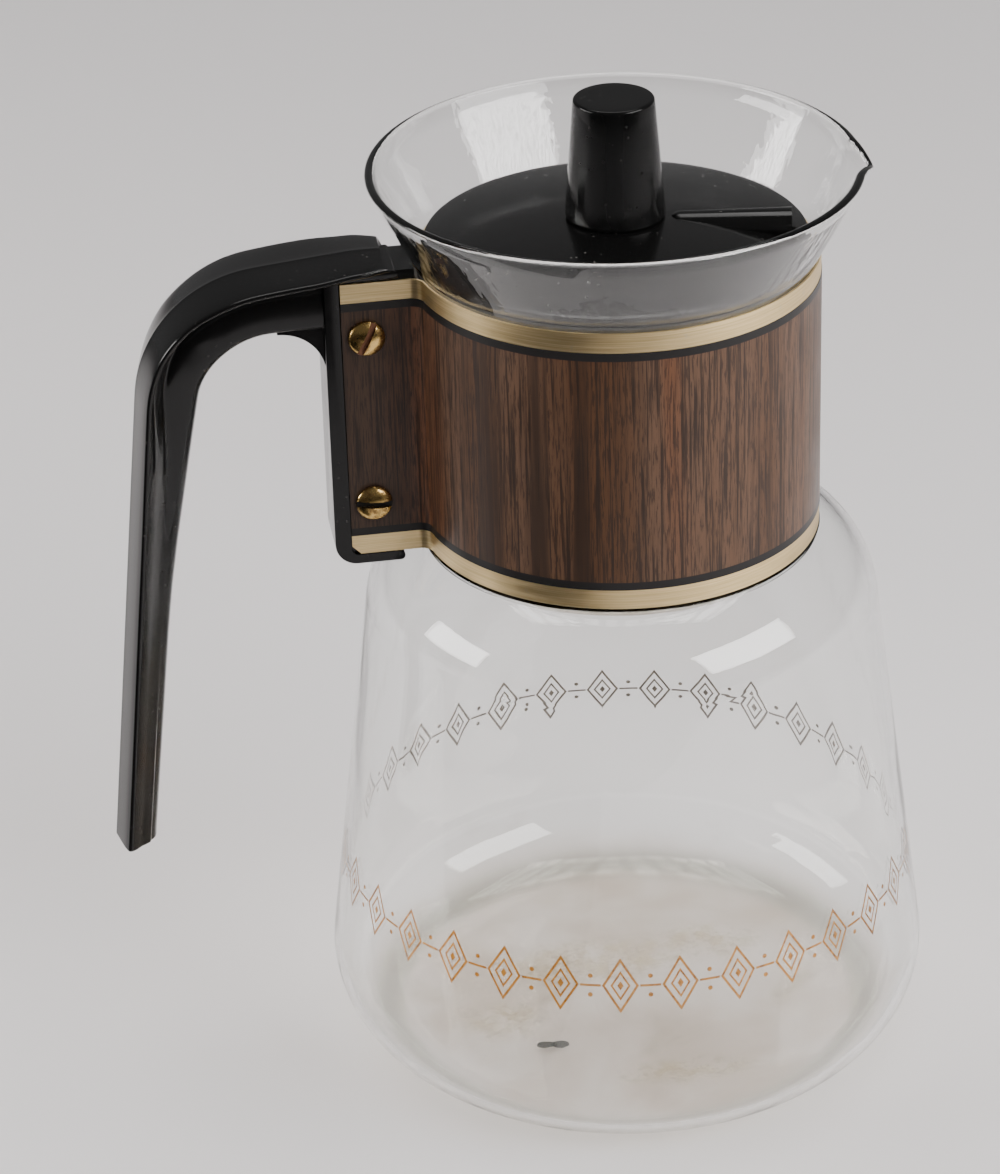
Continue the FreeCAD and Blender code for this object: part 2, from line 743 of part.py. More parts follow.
def make_knob_screw():
    """The screw that holds the knob from below, with its washer."""
    under = "lid_crown - lid_shell - knob_washer_drop"
    washer = tube("lid_knob_washer", "knob_washer_radius", "knob_screw_radius + 0.2",
                  "knob_washer_thickness", f"{under} - knob_washer_thickness")
    node(washer, "lid_knob_washer")
    head_bottom = f"{under} - knob_washer_thickness - knob_screw_head_height"
    head = cylinder("knob_screw_head", "knob_screw_head_radius", "knob_screw_head_height",
                    head_bottom)
    shank = cylinder("knob_screw_shank", "knob_screw_radius",
                     f"knob_seat_height + knob_screw_length - ( {head_bottom} )", head_bottom)
    node(fused("lid_knob_screw", head, shank), "lid_knob_screw")


# ------------------------------------------------------------------ the whole carafe

make_vessel()
make_liner()
make_band()
make_foil()
make_handle()
make_clamp_screw("upper", "screw_upper_height", 64)
make_clamp_screw("lower", "screw_lower_height", -4)
make_lid()
make_seal_ring()
make_knob()
make_knob_screw()
doc.recompute()

failed = [o.Name for o in doc.Objects if "Invalid" in o.State or "Error" in o.State]
assert not failed, f"these objects failed: {failed}"
for item in NODES:
    shape = item.Shape
    assert not shape.isNull() and shape.isValid(), f"{item.Label} has no valid shape"
    assert len(shape.Solids) == 1, f"{item.Label} has {len(shape.Solids)} solids"
for item in NODES:
    item.Shape.exportStep(f"parts/{item.Label}.step")
    print(f"{item.Label}: {item.Shape.Volume / 1000:.2f} cm3")
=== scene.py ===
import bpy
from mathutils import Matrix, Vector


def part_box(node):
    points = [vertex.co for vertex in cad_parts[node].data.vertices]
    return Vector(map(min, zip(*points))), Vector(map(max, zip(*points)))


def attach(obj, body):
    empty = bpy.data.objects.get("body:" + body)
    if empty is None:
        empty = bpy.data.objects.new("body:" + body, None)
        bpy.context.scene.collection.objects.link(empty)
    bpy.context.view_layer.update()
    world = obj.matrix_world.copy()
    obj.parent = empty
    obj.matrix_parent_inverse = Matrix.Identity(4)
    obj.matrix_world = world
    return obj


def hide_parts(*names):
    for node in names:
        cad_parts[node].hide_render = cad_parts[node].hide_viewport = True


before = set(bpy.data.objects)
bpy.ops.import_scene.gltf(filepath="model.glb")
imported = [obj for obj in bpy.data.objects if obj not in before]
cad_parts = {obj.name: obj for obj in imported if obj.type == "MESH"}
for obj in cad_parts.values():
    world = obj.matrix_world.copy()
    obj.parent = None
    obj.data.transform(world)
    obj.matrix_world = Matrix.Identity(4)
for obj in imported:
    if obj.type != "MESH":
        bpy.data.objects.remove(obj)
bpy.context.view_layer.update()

import math

import bmesh
import bpy
from mathutils import Matrix, Vector

# A glass coffee carafe: the looks of every piece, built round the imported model. The builders below
# work in millimetres in the shared frame (vessel axis on Z, handle towards -X) and make metre meshes.
MM = 0.001
TURNS = 192                 # segments of a full turn on the large round pieces

# Sizes that the frame gives, in millimetres
BAND_LOW, BAND_HIGH = [Vector(c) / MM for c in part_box("neck_band")]
FOIL_LOW, FOIL_HIGH = [Vector(c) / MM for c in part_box("woodgrain_foil")]
LID_LOW = Vector(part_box("lid_cover")[0]) / MM
KNOB_LOW, KNOB_HIGH = [Vector(c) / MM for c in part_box("lid_knob")]
GLASS_HIGH = Vector(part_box("glass_vessel")[1]) / MM
SCREW_LOW = [Vector(c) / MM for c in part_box("handle_screw_lower")]
SCREW_UP = [Vector(c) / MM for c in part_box("handle_screw_upper")]

# ------------------------------------------------------------------ outlines


def rounded(corners, step=6.0):
    """Points along an open outline whose corners are (x, y) or (x, y, radius)."""
    points = [Vector(c[:2]) for c in corners]
    line = [points[0]]
    for before, corner, after, spec in zip(points, points[1:], points[2:], corners[1:]):
        if len(spec) < 3:
            line.append(corner)
            continue
        to_before = (before - corner).normalized()
        to_after = (after - corner).normalized()
        half = to_before.angle(to_after) / 2
        centre = corner + (to_before + to_after).normalized() * (spec[2] / math.sin(half))
        start = corner + to_before * (spec[2] / math.tan(half)) - centre
        end = corner + to_after * (spec[2] / math.tan(half)) - centre
        turn = start.angle_signed(end)
        count = max(2, int(abs(math.degrees(turn)) / step))
        for i in range(count + 1):
            line.append(centre + Matrix.Rotation(-turn * i / count, 2) @ start)
    line.append(points[-1])
    return line


def spread(line, spacing):
    """The same line with extra points, so that no two are further apart than the spacing."""
    dense = [line[0]]
    for a, b in zip(line, line[1:]):
        count = max(1, int(math.ceil((b - a).length / spacing)))
        dense += [a.lerp(b, i / count) for i in range(1, count + 1)]
    return dense


def blend_at(table, x):
    """A smooth value between the (x, value) pairs of a table."""
    if x <= table[0][0]:
        return table[0][1]
    for (x0, v0), (x1, v1) in zip(table, table[1:]):
        if x <= x1:
            t = (x - x0) / (x1 - x0)
            return v0 + (v1 - v0) * t * t * (3 - 2 * t)
    return table[-1][1]


# ------------------------------------------------------------------ meshes


def make_object(name, bm, body, material, sharp=35.0):
    """Turns a bmesh in millimetres into a piece that rides a body."""
    bmesh.ops.recalc_face_normals(bm, faces=bm.faces)
    bmesh.ops.scale(bm, vec=(MM, MM, MM), verts=bm.verts)
    mesh = bpy.data.meshes.new(name)
    bm.to_mesh(mesh)
    bm.free()
    mesh.polygons.foreach_set("use_smooth", [True] * len(mesh.polygons))
    if sharp:
        mesh.set_sharp_from_angle(angle=math.radians(sharp))
    piece = bpy.data.objects.new(name, mesh)
    bpy.context.scene.collection.objects.link(piece)
    for one in material if isinstance(material, list) else [material]:
        mesh.materials.append(one)
    if body:
        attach(piece, body)
    return piece


def lathe(profile, turns=TURNS, shift=None):
    """A bmesh turned from (radius, height) points; shift(angle, radius, height) may move each."""
    bm = bmesh.new()
    rings = []
    for r, z in profile:
        if r < 1e-6:
            rings.append([bm.verts.new((0, 0, z))])
            continue
        ring = []
        for i in range(turns):
            angle = 2 * math.pi * i / turns
            radius, height = shift(angle, r, z) if shift else (r, z)
            ring.append(bm.verts.new((radius * math.cos(angle), radius * math.sin(angle), height)))
        rings.append(ring)
    for low, high in zip(rings, rings[1:]):
        for i in range(turns):
            j = (i + 1) % turns
            quad = [low[i % len(low)], low[j % len(low)], high[j % len(high)], high[i % len(high)]]
            corners = list(dict.fromkeys(quad))
            if len(corners) > 2:
                bm.faces.new(corners)
    return bm


def loft(sections, close_ends=True):
    """A bmesh through closed sections that have the same number of points."""
    bm = bmesh.new()
    rings = [[bm.verts.new(p) for p in section] for section in sections]
    for low, high in zip(rings, rings[1:]):
        for i in range(len(low)):
            j = (i + 1) % len(low)
            bm.faces.new((low[i], low[j], high[j], high[i]))
    if close_ends:
        bm.faces.new(list(reversed(rings[0])))
        bm.faces.new(rings[-1])
    return bm


def slab(outline, low, high, bevel=0.0, segments=3):
    """A bmesh of a closed (x, z) outline between two y values, with rounded edges."""
    bm = bmesh.new()
    near = [bm.verts.new((x, low, z)) for x, z in outline]
    far = [bm.verts.new((x, high, z)) for x, z in outline]
    for i in range(len(near)):
        j = (i + 1) % len(near)
        bm.faces.new((near[i], near[j], far[j], far[i]))
    caps = [bm.faces.new(near), bm.faces.new(list(reversed(far)))]
    if bevel:
        edges = [e for cap in caps for e in cap.edges]
        bmesh.ops.bevel(bm, geom=edges, offset=bevel, segments=segments, profile=0.5,
                        affect="EDGES", clamp_overlap=True)
    return bm


def boolean(target, bm_tool, operation, clean=False):
    """Joins or cuts a piece with a bmesh in millimetres; clean also resolves its own overlaps."""
    tool = make_object("tool", bm_tool, None, [])
    modifier = target.modifiers.new("join", "BOOLEAN")
    modifier.operation = operation
    modifier.solver = "EXACT"
    modifier.use_self = clean
    modifier.object = tool
    graph = bpy.context.evaluated_depsgraph_get()
    mesh = bpy.data.meshes.new_from_object(target.evaluated_get(graph))
    target.modifiers.clear()
    old = target.data
    materials = list(old.materials)
    target.data = mesh
    mesh.materials.clear()
    for one in materials:
        mesh.materials.append(one)
    bpy.data.objects.remove(tool)
    bpy.data.meshes.remove(old)
    mesh.polygons.foreach_set("use_smooth", [True] * len(mesh.polygons))
    mesh.set_sharp_from_angle(angle=math.radians(35))
    return target


def moved(bm, matrix):
    """The same bmesh, moved by a matrix."""
    bmesh.ops.transform(bm, matrix=matrix, verts=bm.verts)
    return bm


# ------------------------------------------------------------------ material nodes


class Nodes:
    """A short way to write a material's nodes."""

    def __init__(self, name):
        self.material = bpy.data.materials.new(name)
        self.material.use_nodes = True
        self.tree = self.material.node_tree
        self.tree.nodes.clear()
        self.output = self.tree.nodes.new("ShaderNodeOutputMaterial")
        self.place = self.tree.nodes.new("ShaderNodeTexCoord").outputs["Object"]

    def link(self, source, socket):
        self.tree.links.new(source, socket)

    def put(self, kind, inputs=None, **settings):
        item = self.tree.nodes.new(kind)
        for key, value in settings.items():
            setattr(item, key, value)
        for key, value in (inputs or {}).items():
            if hasattr(value, "is_output"):
                self.link(value, item.inputs[key])
            else:
                item.inputs[key].default_value = value
        return item

    def math(self, operation, a, b=0.0, c=0.0, clamp=False):
        item = self.put("ShaderNodeMath", {0: a, 1: b, 2: c}, operation=operation, use_clamp=clamp)
        return item.outputs[0]

    def stretched(self, scale):
        """Object coordinates multiplied by a scale along each axis."""
        item = self.put("ShaderNodeMapping", {"Vector": self.place, "Scale": scale})
        return item.outputs[0]

    def noise(self, vector, scale, detail=3.0, roughness=0.5, distortion=0.0):
        inputs = {"Vector": vector, "Scale": scale, "Detail": detail, "Roughness": roughness,
                  "Distortion": distortion}
        return self.put("ShaderNodeTexNoise", inputs).outputs["Fac"]

    def ramp(self, value, low, high, out_low=0.0, out_high=1.0):
        inputs = {"Value": value, "From Min": low, "From Max": high, "To Min": out_low,
                  "To Max": out_high}
        item = self.put("ShaderNodeMapRange", inputs, clamp=True, interpolation_type="SMOOTHSTEP")
        return item.outputs["Result"]

    def mix(self, factor, a, b):
        item = self.put("ShaderNodeMix", {"Factor": factor}, data_type="RGBA")
        for index, value in ((6, a), (7, b)):
            if hasattr(value, "is_output"):
                self.link(value, item.inputs[index])
            else:
                item.inputs[index].default_value = (*value, 1.0)
        return item.outputs[2]

    def bump(self, height, distance, strength=1.0):
        inputs = {"Height": height, "Distance": distance, "Strength": strength}
        return self.put("ShaderNodeBump", inputs).outputs["Normal"]

    def finish(self, shader):
        self.link(shader.outputs[0], self.output.inputs["Surface"])
        return self.material


def specks(n, scale, size):
    """Sparse dust: 1 inside small scattered dots."""
    cells = n.put("ShaderNodeTexVoronoi", {"Vector": n.place, "Scale": scale, "Randomness": 1.0})
    near = n.ramp(cells.outputs["Distance"], size * 0.5, size, 1.0, 0.0)
    patch = n.ramp(n.noise(n.place, 60.0, 2.0), 0.5, 0.62)
    return n.math("MULTIPLY", near, patch)


def phenolic(name, roughness, dust, gloss=0.2):
    """Glossy black moulded plastic with faint ripples, smudges and dust."""
    n = Nodes(name)
    smudge = n.noise(n.place, 38.0, 4.0, 0.6)
    fine = n.noise(n.place, 900.0, 2.0, 0.5)
    dots = n.math("MULTIPLY", specks(n, 420.0, 0.16), dust)
    rough = n.math("ADD", n.ramp(smudge, 0.35, 0.75, roughness * 0.85, roughness * 1.35),
                   n.math("MULTIPLY", dots, 0.5))
    base = n.mix(dots, (0.0036, 0.0036, 0.0036), (0.20, 0.19, 0.18))
    ripple = n.math("ADD", n.noise(n.place, 110.0, 2.0), n.math("MULTIPLY", fine, 0.06))
    return n.finish(n.put("ShaderNodeBsdfPrincipled", {
        "Base Color": base, "Roughness": rough, "IOR": 1.56, "Specular IOR Level": gloss,
        "Normal": n.bump(ripple, 0.00002)}))


# Marks on the inside of the base, in millimetres: x, y, and the half-lengths along x and y
BASE_STAINS = [(-4, 18, 24, 9), (25, 22, 13, 7), (9, -38, 16, 5), (-34, -6, 9, 8)]
BASE_BLOTS = [(-25.6, -18.9, 2.3, 1.6), (-21.6, -19.5, 2.2, 1.7)]


def mark_at(n, spot, softness):
    """1 inside an uneven oval mark, falling to 0 at its edge."""
    x, y, along, across = (v * MM for v in spot)
    shifted = n.put("ShaderNodeVectorMath", {0: n.place, 1: (x, y, 0)}, operation="SUBTRACT")
    scaled = n.put("ShaderNodeVectorMath", {0: shifted.outputs[0], 1: (1 / along, 1 / across, 0)},
                   operation="MULTIPLY")
    far = n.put("ShaderNodeVectorMath", {0: scaled.outputs[0]}, operation="LENGTH").outputs["Value"]
    ragged = n.math("ADD", far, n.ramp(n.noise(n.place, 700.0, 2.0), 0.3, 0.7, -0.12, 0.12))
    return n.ramp(ragged, 1.0 - softness, 1.0 + softness, 1.0, 0.0)


def glass_material():
    """Clear blown glass: faint waves, painted shade darkening the base and its heel, and a thin brown
    film and dark marks near the base.
    """
    n = Nodes("clear_glass")
    waves = n.noise(n.stretched((1.0, 1.0, 0.45)), 130.0, 1.0, 0.4)
    slow = n.noise(n.stretched((1.0, 1.0, 0.6)), 34.0, 1.0, 0.4)
    relief = n.math("ADD", n.math("MULTIPLY", waves, 0.10), slow)
    height = n.put("ShaderNodeSeparateXYZ", {0: n.place}).outputs["Z"]
    drawn = n.noise(n.stretched((1.0, 1.0, 0.16)), 420.0, 1.0, 0.4)
    flare = n.ramp(height, 0.223, 0.229, 0.0, 0.16)
    relief = n.math("ADD", relief, n.math("MULTIPLY", drawn, flare))
    glass = n.put("ShaderNodeBsdfPrincipled", {
        "Base Color": (0.985, 0.992, 0.99, 1.0), "Roughness": 0.0, "IOR": 1.474,
        "Transmission Weight": 1.0, "Normal": n.bump(relief, 0.00025)})
    low = n.ramp(height, 0.002, 0.030, 1.0, 0.0)
    # Painted shade: the base is tinted darker and browner towards the floor, unevenly, standing in
    # for the shade under the carafe.
    base_painted_shade = n.ramp(height, 0.0028, 0.013, 1.0, 0.0)
    painted_shade_patches = n.ramp(n.noise(n.place, 22.0, 4.0, 0.6, 0.4), 0.36, 0.66, 0.35, 1.0)
    glass_tint_and_painted_shade = n.mix(n.math("MULTIPLY", base_painted_shade, painted_shade_patches), (0.985, 0.99, 0.985), (0.76, 0.715, 0.65))
    flat = n.put("ShaderNodeVectorMath", {0: n.place, 1: (1, 1, 0)}, operation="MULTIPLY")
    radius = n.put("ShaderNodeVectorMath", {0: flat.outputs[0]}, operation="LENGTH").outputs["Value"]
    # Painted shade: a dark greenish line painted along the outer edge of the base, at the heel.
    heel_painted_shade = n.math("MULTIPLY", n.ramp(height, 0.0015, 0.008, 1, 0), n.ramp(radius, 0.058, 0.066))
    glass_tint_and_painted_shade = n.mix(heel_painted_shade, glass_tint_and_painted_shade, (0.44, 0.46, 0.39))
    n.link(glass_tint_and_painted_shade, glass.inputs["Base Color"])
    stain = n.put("ShaderNodeBsdfDiffuse", {"Color": (0.34, 0.27, 0.13, 1.0)})
    cloud = n.ramp(n.noise(n.place, 34.0, 5.0, 0.62, 0.6), 0.56, 0.78, 0.0, 0.16)
    film = n.math("MULTIPLY", cloud, low)
    inside = n.math("MULTIPLY", n.ramp(height, 0.0012, 0.0016), n.ramp(height, 0.0032, 0.0045, 1, 0))
    streaky = n.ramp(n.noise(n.place, 210.0, 4.0, 0.7), 0.38, 0.62)
    for spot in BASE_STAINS:
        mark = n.math("MULTIPLY", mark_at(n, spot, 0.55), streaky)
        film = n.math("MAXIMUM", film, n.math("MULTIPLY", n.math("MULTIPLY", mark, inside), 0.42))
    dirty = n.put("ShaderNodeMixShader", {0: film, 1: glass.outputs[0], 2: stain.outputs[0]})
    soot = n.put("ShaderNodeBsdfDiffuse", {"Color": (0.028, 0.032, 0.030, 1.0)})
    for spot in BASE_BLOTS:
        mark = n.math("MULTIPLY", n.math("MULTIPLY", mark_at(n, spot, 0.06), inside), 0.9)
        dirty = n.put("ShaderNodeMixShader", {0: mark, 1: dirty.outputs[0], 2: soot.outputs[0]})
    clear = n.put("ShaderNodeBsdfTransparent", {"Color": (0.80, 0.785, 0.765, 1.0)})
    path = n.put("ShaderNodeLightPath")
    return n.finish(n.put("ShaderNodeMixShader", {
        0: path.outputs["Is Shadow Ray"], 1: dirty.outputs[0], 2: clear.outputs[0]}))


def print_gold():
    """Bright liquid-gold print, a little uneven where it was fired on."""
    n = Nodes("gold_print")
    uneven = n.noise(n.place, 700.0, 3.0, 0.6)
    base = n.mix(n.ramp(uneven, 0.35, 0.7), (0.40, 0.165, 0.028), (0.56, 0.27, 0.06))
    return n.finish(n.put("ShaderNodeBsdfPrincipled", {
        "Base Color": base, "Metallic": 1.0, "Roughness": n.ramp(uneven, 0.3, 0.8, 0.24, 0.42),
        "Normal": n.bump(uneven, 0.00002)}))


def print_back():
    """The gold print as it looks through the glass from inside: a dull grey brown."""
    n = Nodes("gold_print_back")
    uneven = n.noise(n.place, 500.0, 3.0, 0.6)
    base = n.mix(uneven, (0.10, 0.085, 0.07), (0.19, 0.165, 0.14))
    return n.finish(n.put("ShaderNodeBsdfPrincipled", {
        "Base Color": base, "Metallic": 0.35, "Roughness": 0.5}))


def gilt_metal():
    """Gilt sheet metal, brushed along the band, with a few worn specks."""
    n = Nodes("gilt_metal")
    brushed = n.noise(n.stretched((14.0, 14.0, 2600.0)), 1.0, 4.0, 0.65)
    across = n.noise(n.stretched((90.0, 90.0, 5200.0)), 1.0, 2.0, 0.5)
    grain = n.math("ADD", n.math("MULTIPLY", brushed, 0.6), n.math("MULTIPLY", across, 0.4))
    worn = n.ramp(n.noise(n.place, 240.0, 4.0, 0.6), 0.62, 0.74, 0.0, 0.5)
    base = n.mix(n.ramp(grain, 0.35, 0.65), (0.66, 0.49, 0.24), (0.84, 0.66, 0.37))
    base = n.mix(worn, base, (0.62, 0.52, 0.36))
    return n.finish(n.put("ShaderNodeBsdfPrincipled", {
        "Base Color": base, "Metallic": 1.0, "Roughness": n.ramp(grain, 0.3, 0.7, 0.33, 0.46),
        "Normal": n.bump(grain, 0.00001)}))


def raw_edge():
    """The cut edge of the sheet metal, where the gilt stops."""
    n = Nodes("raw_edge")
    scrape = n.noise(n.place, 900.0, 3.0, 0.6)
    base = n.mix(scrape, (0.60, 0.59, 0.58), (0.82, 0.81, 0.80))
    return n.finish(n.put("ShaderNodeBsdfPrincipled", {
        "Base Color": base, "Metallic": 1.0, "Roughness": n.ramp(scrape, 0.3, 0.7, 0.22, 0.4)}))


def woodgrain(line_width):
    """Printed dark walnut grain running up the band, with a black line along both edges, and painted
    shade darkening it on both ears.
    """
    n = Nodes("woodgrain_print")
    broad = n.noise(n.stretched((1.0, 1.0, 0.04)), 46.0, 2.0, 0.5)
    bands = n.noise(n.stretched((1.0, 1.0, 0.025)), 105.0, 4.0, 0.72, 0.12)
    streak = n.noise(n.stretched((1.0, 1.0, 0.024)), 1250.0, 4.0, 0.68, 0.08)
    pores = n.noise(n.stretched((1.0, 1.0, 0.07)), 2600.0, 3.0, 0.6)
    warm = n.mix(n.ramp(broad, 0.36, 0.62), (0.074, 0.034, 0.016), (0.115, 0.064, 0.040))
    warm = n.mix(n.ramp(broad, 0.56, 0.66, 0.0, 0.55), warm, (0.130, 0.044, 0.016))
    dark = n.ramp(bands, 0.49, 0.34, 0.0, 0.75)
    lines = n.ramp(streak, 0.53, 0.40, 0.0, 0.85)
    dots = n.ramp(pores, 0.50, 0.38, 0.0, 0.7)
    shade = n.math("MAXIMUM", n.math("MAXIMUM", dark, lines), dots)
    wood = n.mix(shade, warm, (0.018, 0.013, 0.011))
    height = n.put("ShaderNodeSeparateXYZ", {0: n.place}).outputs["Z"]
    middle = (FOIL_LOW.z + FOIL_HIGH.z) / 2 * MM
    reach = (FOIL_HIGH.z - FOIL_LOW.z) / 2 * MM - line_width * MM
    away = n.math("ABSOLUTE", n.math("SUBTRACT", height, middle))
    border = n.ramp(away, reach - 0.00008, reach + 0.00008)
    # Painted shade: the grain is mixed 62 percent towards near-black on both ears, standing in for
    # their shade.
    towards_end = n.put("ShaderNodeSeparateXYZ", {0: n.place}).outputs["X"]
    ear = n.ramp(towards_end, -0.056, -0.050, 0.62, 0.0)
    wood = n.mix(ear, wood, (0.016, 0.012, 0.010))
    base = n.mix(border, wood, (0.014, 0.013, 0.013))
    smudge = n.noise(n.place, 30.0, 4.0, 0.6)
    scratch = n.noise(n.stretched((420.0, 420.0, 18.0)), 1.0, 1.0, 0.4)
    return n.finish(n.put("ShaderNodeBsdfPrincipled", {
        "Base Color": base, "Roughness": n.ramp(smudge, 0.3, 0.7, 0.30, 0.42), "IOR": 1.5,
        "Specular IOR Level": 0.22,
        "Normal": n.bump(n.math("ADD", streak, n.math("MULTIPLY", scratch, 0.3)), 0.00001)}))


def screw_brass(name):
    """Brass-plated screw metal with dark tarnish in patches."""
    n = Nodes(name)
    patch = n.noise(n.place, 420.0, 4.0, 0.6)
    fine = n.noise(n.place, 2400.0, 2.0, 0.5)
    base = n.mix(n.ramp(patch, 0.42, 0.64), (0.60, 0.40, 0.14), (0.22, 0.13, 0.05))
    return n.finish(n.put("ShaderNodeBsdfPrincipled", {
        "Base Color": base, "Metallic": 1.0, "Roughness": n.ramp(patch, 0.4, 0.7, 0.2, 0.42),
        "Normal": n.bump(fine, 0.000015)}))


def rust():
    """The rusty fill in an old screw's slot."""
    n = Nodes("slot_rust")
    grain = n.noise(n.place, 1800.0, 4.0, 0.65)
    base = n.mix(grain, (0.05, 0.018, 0.008), (0.20, 0.075, 0.028))
    return n.finish(n.put("ShaderNodeBsdfPrincipled", {
        "Base Color": base, "Roughness": 0.8, "Normal": n.bump(grain, 0.0001)}))


def soft_rubber():
    """Dull dark rubber of the lid's seal ring."""
    n = Nodes("seal_rubber")
    grain = n.noise(n.place, 900.0, 3.0, 0.6)
    base = n.mix(grain, (0.030, 0.030, 0.030), (0.055, 0.053, 0.050))
    return n.finish(n.put("ShaderNodeBsdfPrincipled", {
        "Base Color": base, "Roughness": n.ramp(grain, 0.3, 0.7, 0.5, 0.7),
        "Normal": n.bump(grain, 0.00003)}))


def liner_card():
    """The dark fibre liner between the glass neck and the band."""
    n = Nodes("liner_plastic")
    fibre = n.noise(n.stretched((1.0, 1.0, 0.3)), 500.0, 4.0, 0.6)
    base = n.mix(fibre, (0.040, 0.034, 0.028), (0.085, 0.072, 0.058))
    return n.finish(n.put("ShaderNodeBsdfPrincipled", {
        "Base Color": base, "Roughness": n.ramp(fibre, 0.3, 0.7, 0.55, 0.8),
        "Normal": n.bump(fibre, 0.00004)}))


def paper(name):
    """The pale sweep under the carafe."""
    n = Nodes(name)
    tone = n.noise(n.place, 3.0, 3.0, 0.5)
    base = n.mix(tone, (0.715, 0.690, 0.696), (0.745, 0.720, 0.725))
    return n.finish(n.put("ShaderNodeBsdfPrincipled", {"Base Color": base, "Roughness": 0.62}))


# ------------------------------------------------------------------ glass vessel

WALL = 2.2
RIM_BEAD = 1.15
LIP_TURN = math.radians(-8)     # the pouring lip's direction, seen from above
LIP_WIDTH, LIP_PULL, LIP_DIP = 11.5, 2.4, 2.8
SIDE_LEAN = math.radians(7.22)


def vessel_profile():
    """Outer wall from the base to the rim, round the bead, and down the inner wall."""
    rim_height = GLASS_HIGH.z
    outer = rounded([(0, 0), (81.4, 0, 25), (63.35, 142.4, 25.7),
                     (48.9, 148, 2.5), (48.9, 220, 8), (60.75, 242.65)], 3.0)
    inner = rounded([(0, WALL), (78.9, WALL, 22.8),
                     (61.33, 140.8, 23.5), (46.7, 146.5, 4.7), (46.7, 220.5, 10),
                     (58.65, 242.6)], 3.0)
    bead = []
    start = outer[-1]
    end = inner[-1]
    middle = (start + end) / 2
    lean = math.atan2((start - end).y, (start - end).x)
    for i in range(1, 12):
        angle = lean + math.pi * i / 12
        bead.append(middle + Vector((math.cos(angle), math.sin(angle))) * RIM_BEAD)
    lift = rim_height - max(p.y for p in bead)
    bead = [p + Vector((0, lift)) for p in bead]
    line = spread(outer, 4.0) + bead + list(reversed(spread(inner, 4.0)))
    return [(max(p.x, 0.0), p.y) for p in line]


def pour_lip(angle, radius, height):
    """Draws the rim out and down into the pouring lip."""
    off = math.remainder(angle - LIP_TURN, 2 * math.pi) * radius
    share = max(0.0, 1 - math.hypot(off, 0.8) / LIP_WIDTH)
    rise = max(0.0, (height - 224.0) / (GLASS_HIGH.z - 224.0)) ** 1.6
    return (radius + LIP_PULL * share ** 1.35 * rise,
            height - LIP_DIP * share ** 1.7 * rise)


def build_vessel(material):
    bm = lathe(vessel_profile(), 360, pour_lip)
    piece = make_object("vessel_glass", bm, "root", material, sharp=None)
    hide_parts("glass_vessel")
    return piece


# ------------------------------------------------------------------ gold border

BORDER_RADIUS, BORDER_HEIGHT = 74.0, 54.45
BORDER_COUNT = 31
BORDER_TURN = math.radians(-101.3)
PRINT_LIFT, PRINT_THICK = 0.02, 0.03
# The plain chain: half-width, half-height and stroke of each diamond, then the bar and the dots
OUTER_DIAMOND, INNER_DIAMOND = (4.6, 7.6, 0.62), (2.5, 4.1, 0.50)
BAR_START, DOT_RISE, DOT_RADIUS = 4.9, 2.6, 0.62


def ribbon(points, width, closed=True):
    """Quads that follow a line of points with an even width."""
    quads = []
    count = len(points)
    sides = []
    for i, p in enumerate(points):
        a = points[i - 1] if closed or i > 0 else p
        b = points[(i + 1) % count] if closed or i < count - 1 else p
        normal = (b - a).normalized().orthogonal() * (width / 2)
        sides.append((p + normal, p - normal))
    last = count if closed else count - 1
    for i in range(last):
        j = (i + 1) % count
        quads.append([sides[i][0], sides[i][1], sides[j][1], sides[j][0]])
    return quads


def disc(radius, middle):
    """A round dot as one face."""
    return [[Vector(middle) + Vector((math.cos(a), math.sin(a))) * radius
             for a in (2 * math.pi * i / 14 for i in range(14))]]


def diamond(half_width, half_height, steps=6):
    """A diamond as short straight runs, so that it follows the round wall."""
    corners = [Vector(corner) for corner in ((half_width, 0), (0, half_height),
                                             (-half_width, 0), (0, -half_height))]
    return [corners[i].lerp(corners[(i + 1) % 4], j / steps)
            for i in range(4) for j in range(steps)]


def diamond_line(half_width, half_height, stroke):
    """Quads between a diamond and the same diamond drawn in by the stroke."""
    outer = diamond(half_width, half_height)
    inset = 1 - stroke * math.hypot(half_width, half_height) / (half_width * half_height)
    inner = [point * inset for point in outer]
    count = len(outer)
    return [[outer[i], outer[(i + 1) % count], inner[(i + 1) % count], inner[i]]
            for i in range(count)]


def border_motif():
    """One repeat of a plain chain: a diamond inside a diamond, a bar to the next, and two dots."""
    pitch = 2 * math.pi * BORDER_RADIUS / BORDER_COUNT
    faces = diamond_line(*OUTER_DIAMOND) + diamond_line(*INNER_DIAMOND)
    faces.append(diamond(0.8, 1.3, 1))
    bar = [Vector((BAR_START + (pitch - 2 * BAR_START) * i / 4, 0)) for i in range(5)]
    faces += ribbon(bar, OUTER_DIAMOND[2], closed=False)
    for y in (-DOT_RISE, DOT_RISE):
        faces += disc(DOT_RADIUS, (pitch / 2, y))
    return faces


def on_wall(point, start):
    """A border point, wrapped on to the vessel's leaning side."""
    angle = start + point.x / BORDER_RADIUS
    rise = point.y * math.cos(SIDE_LEAN)
    radius = BORDER_RADIUS - point.y * math.sin(SIDE_LEAN) + PRINT_LIFT
    return Vector((radius * math.cos(angle), radius * math.sin(angle), BORDER_HEIGHT + rise))


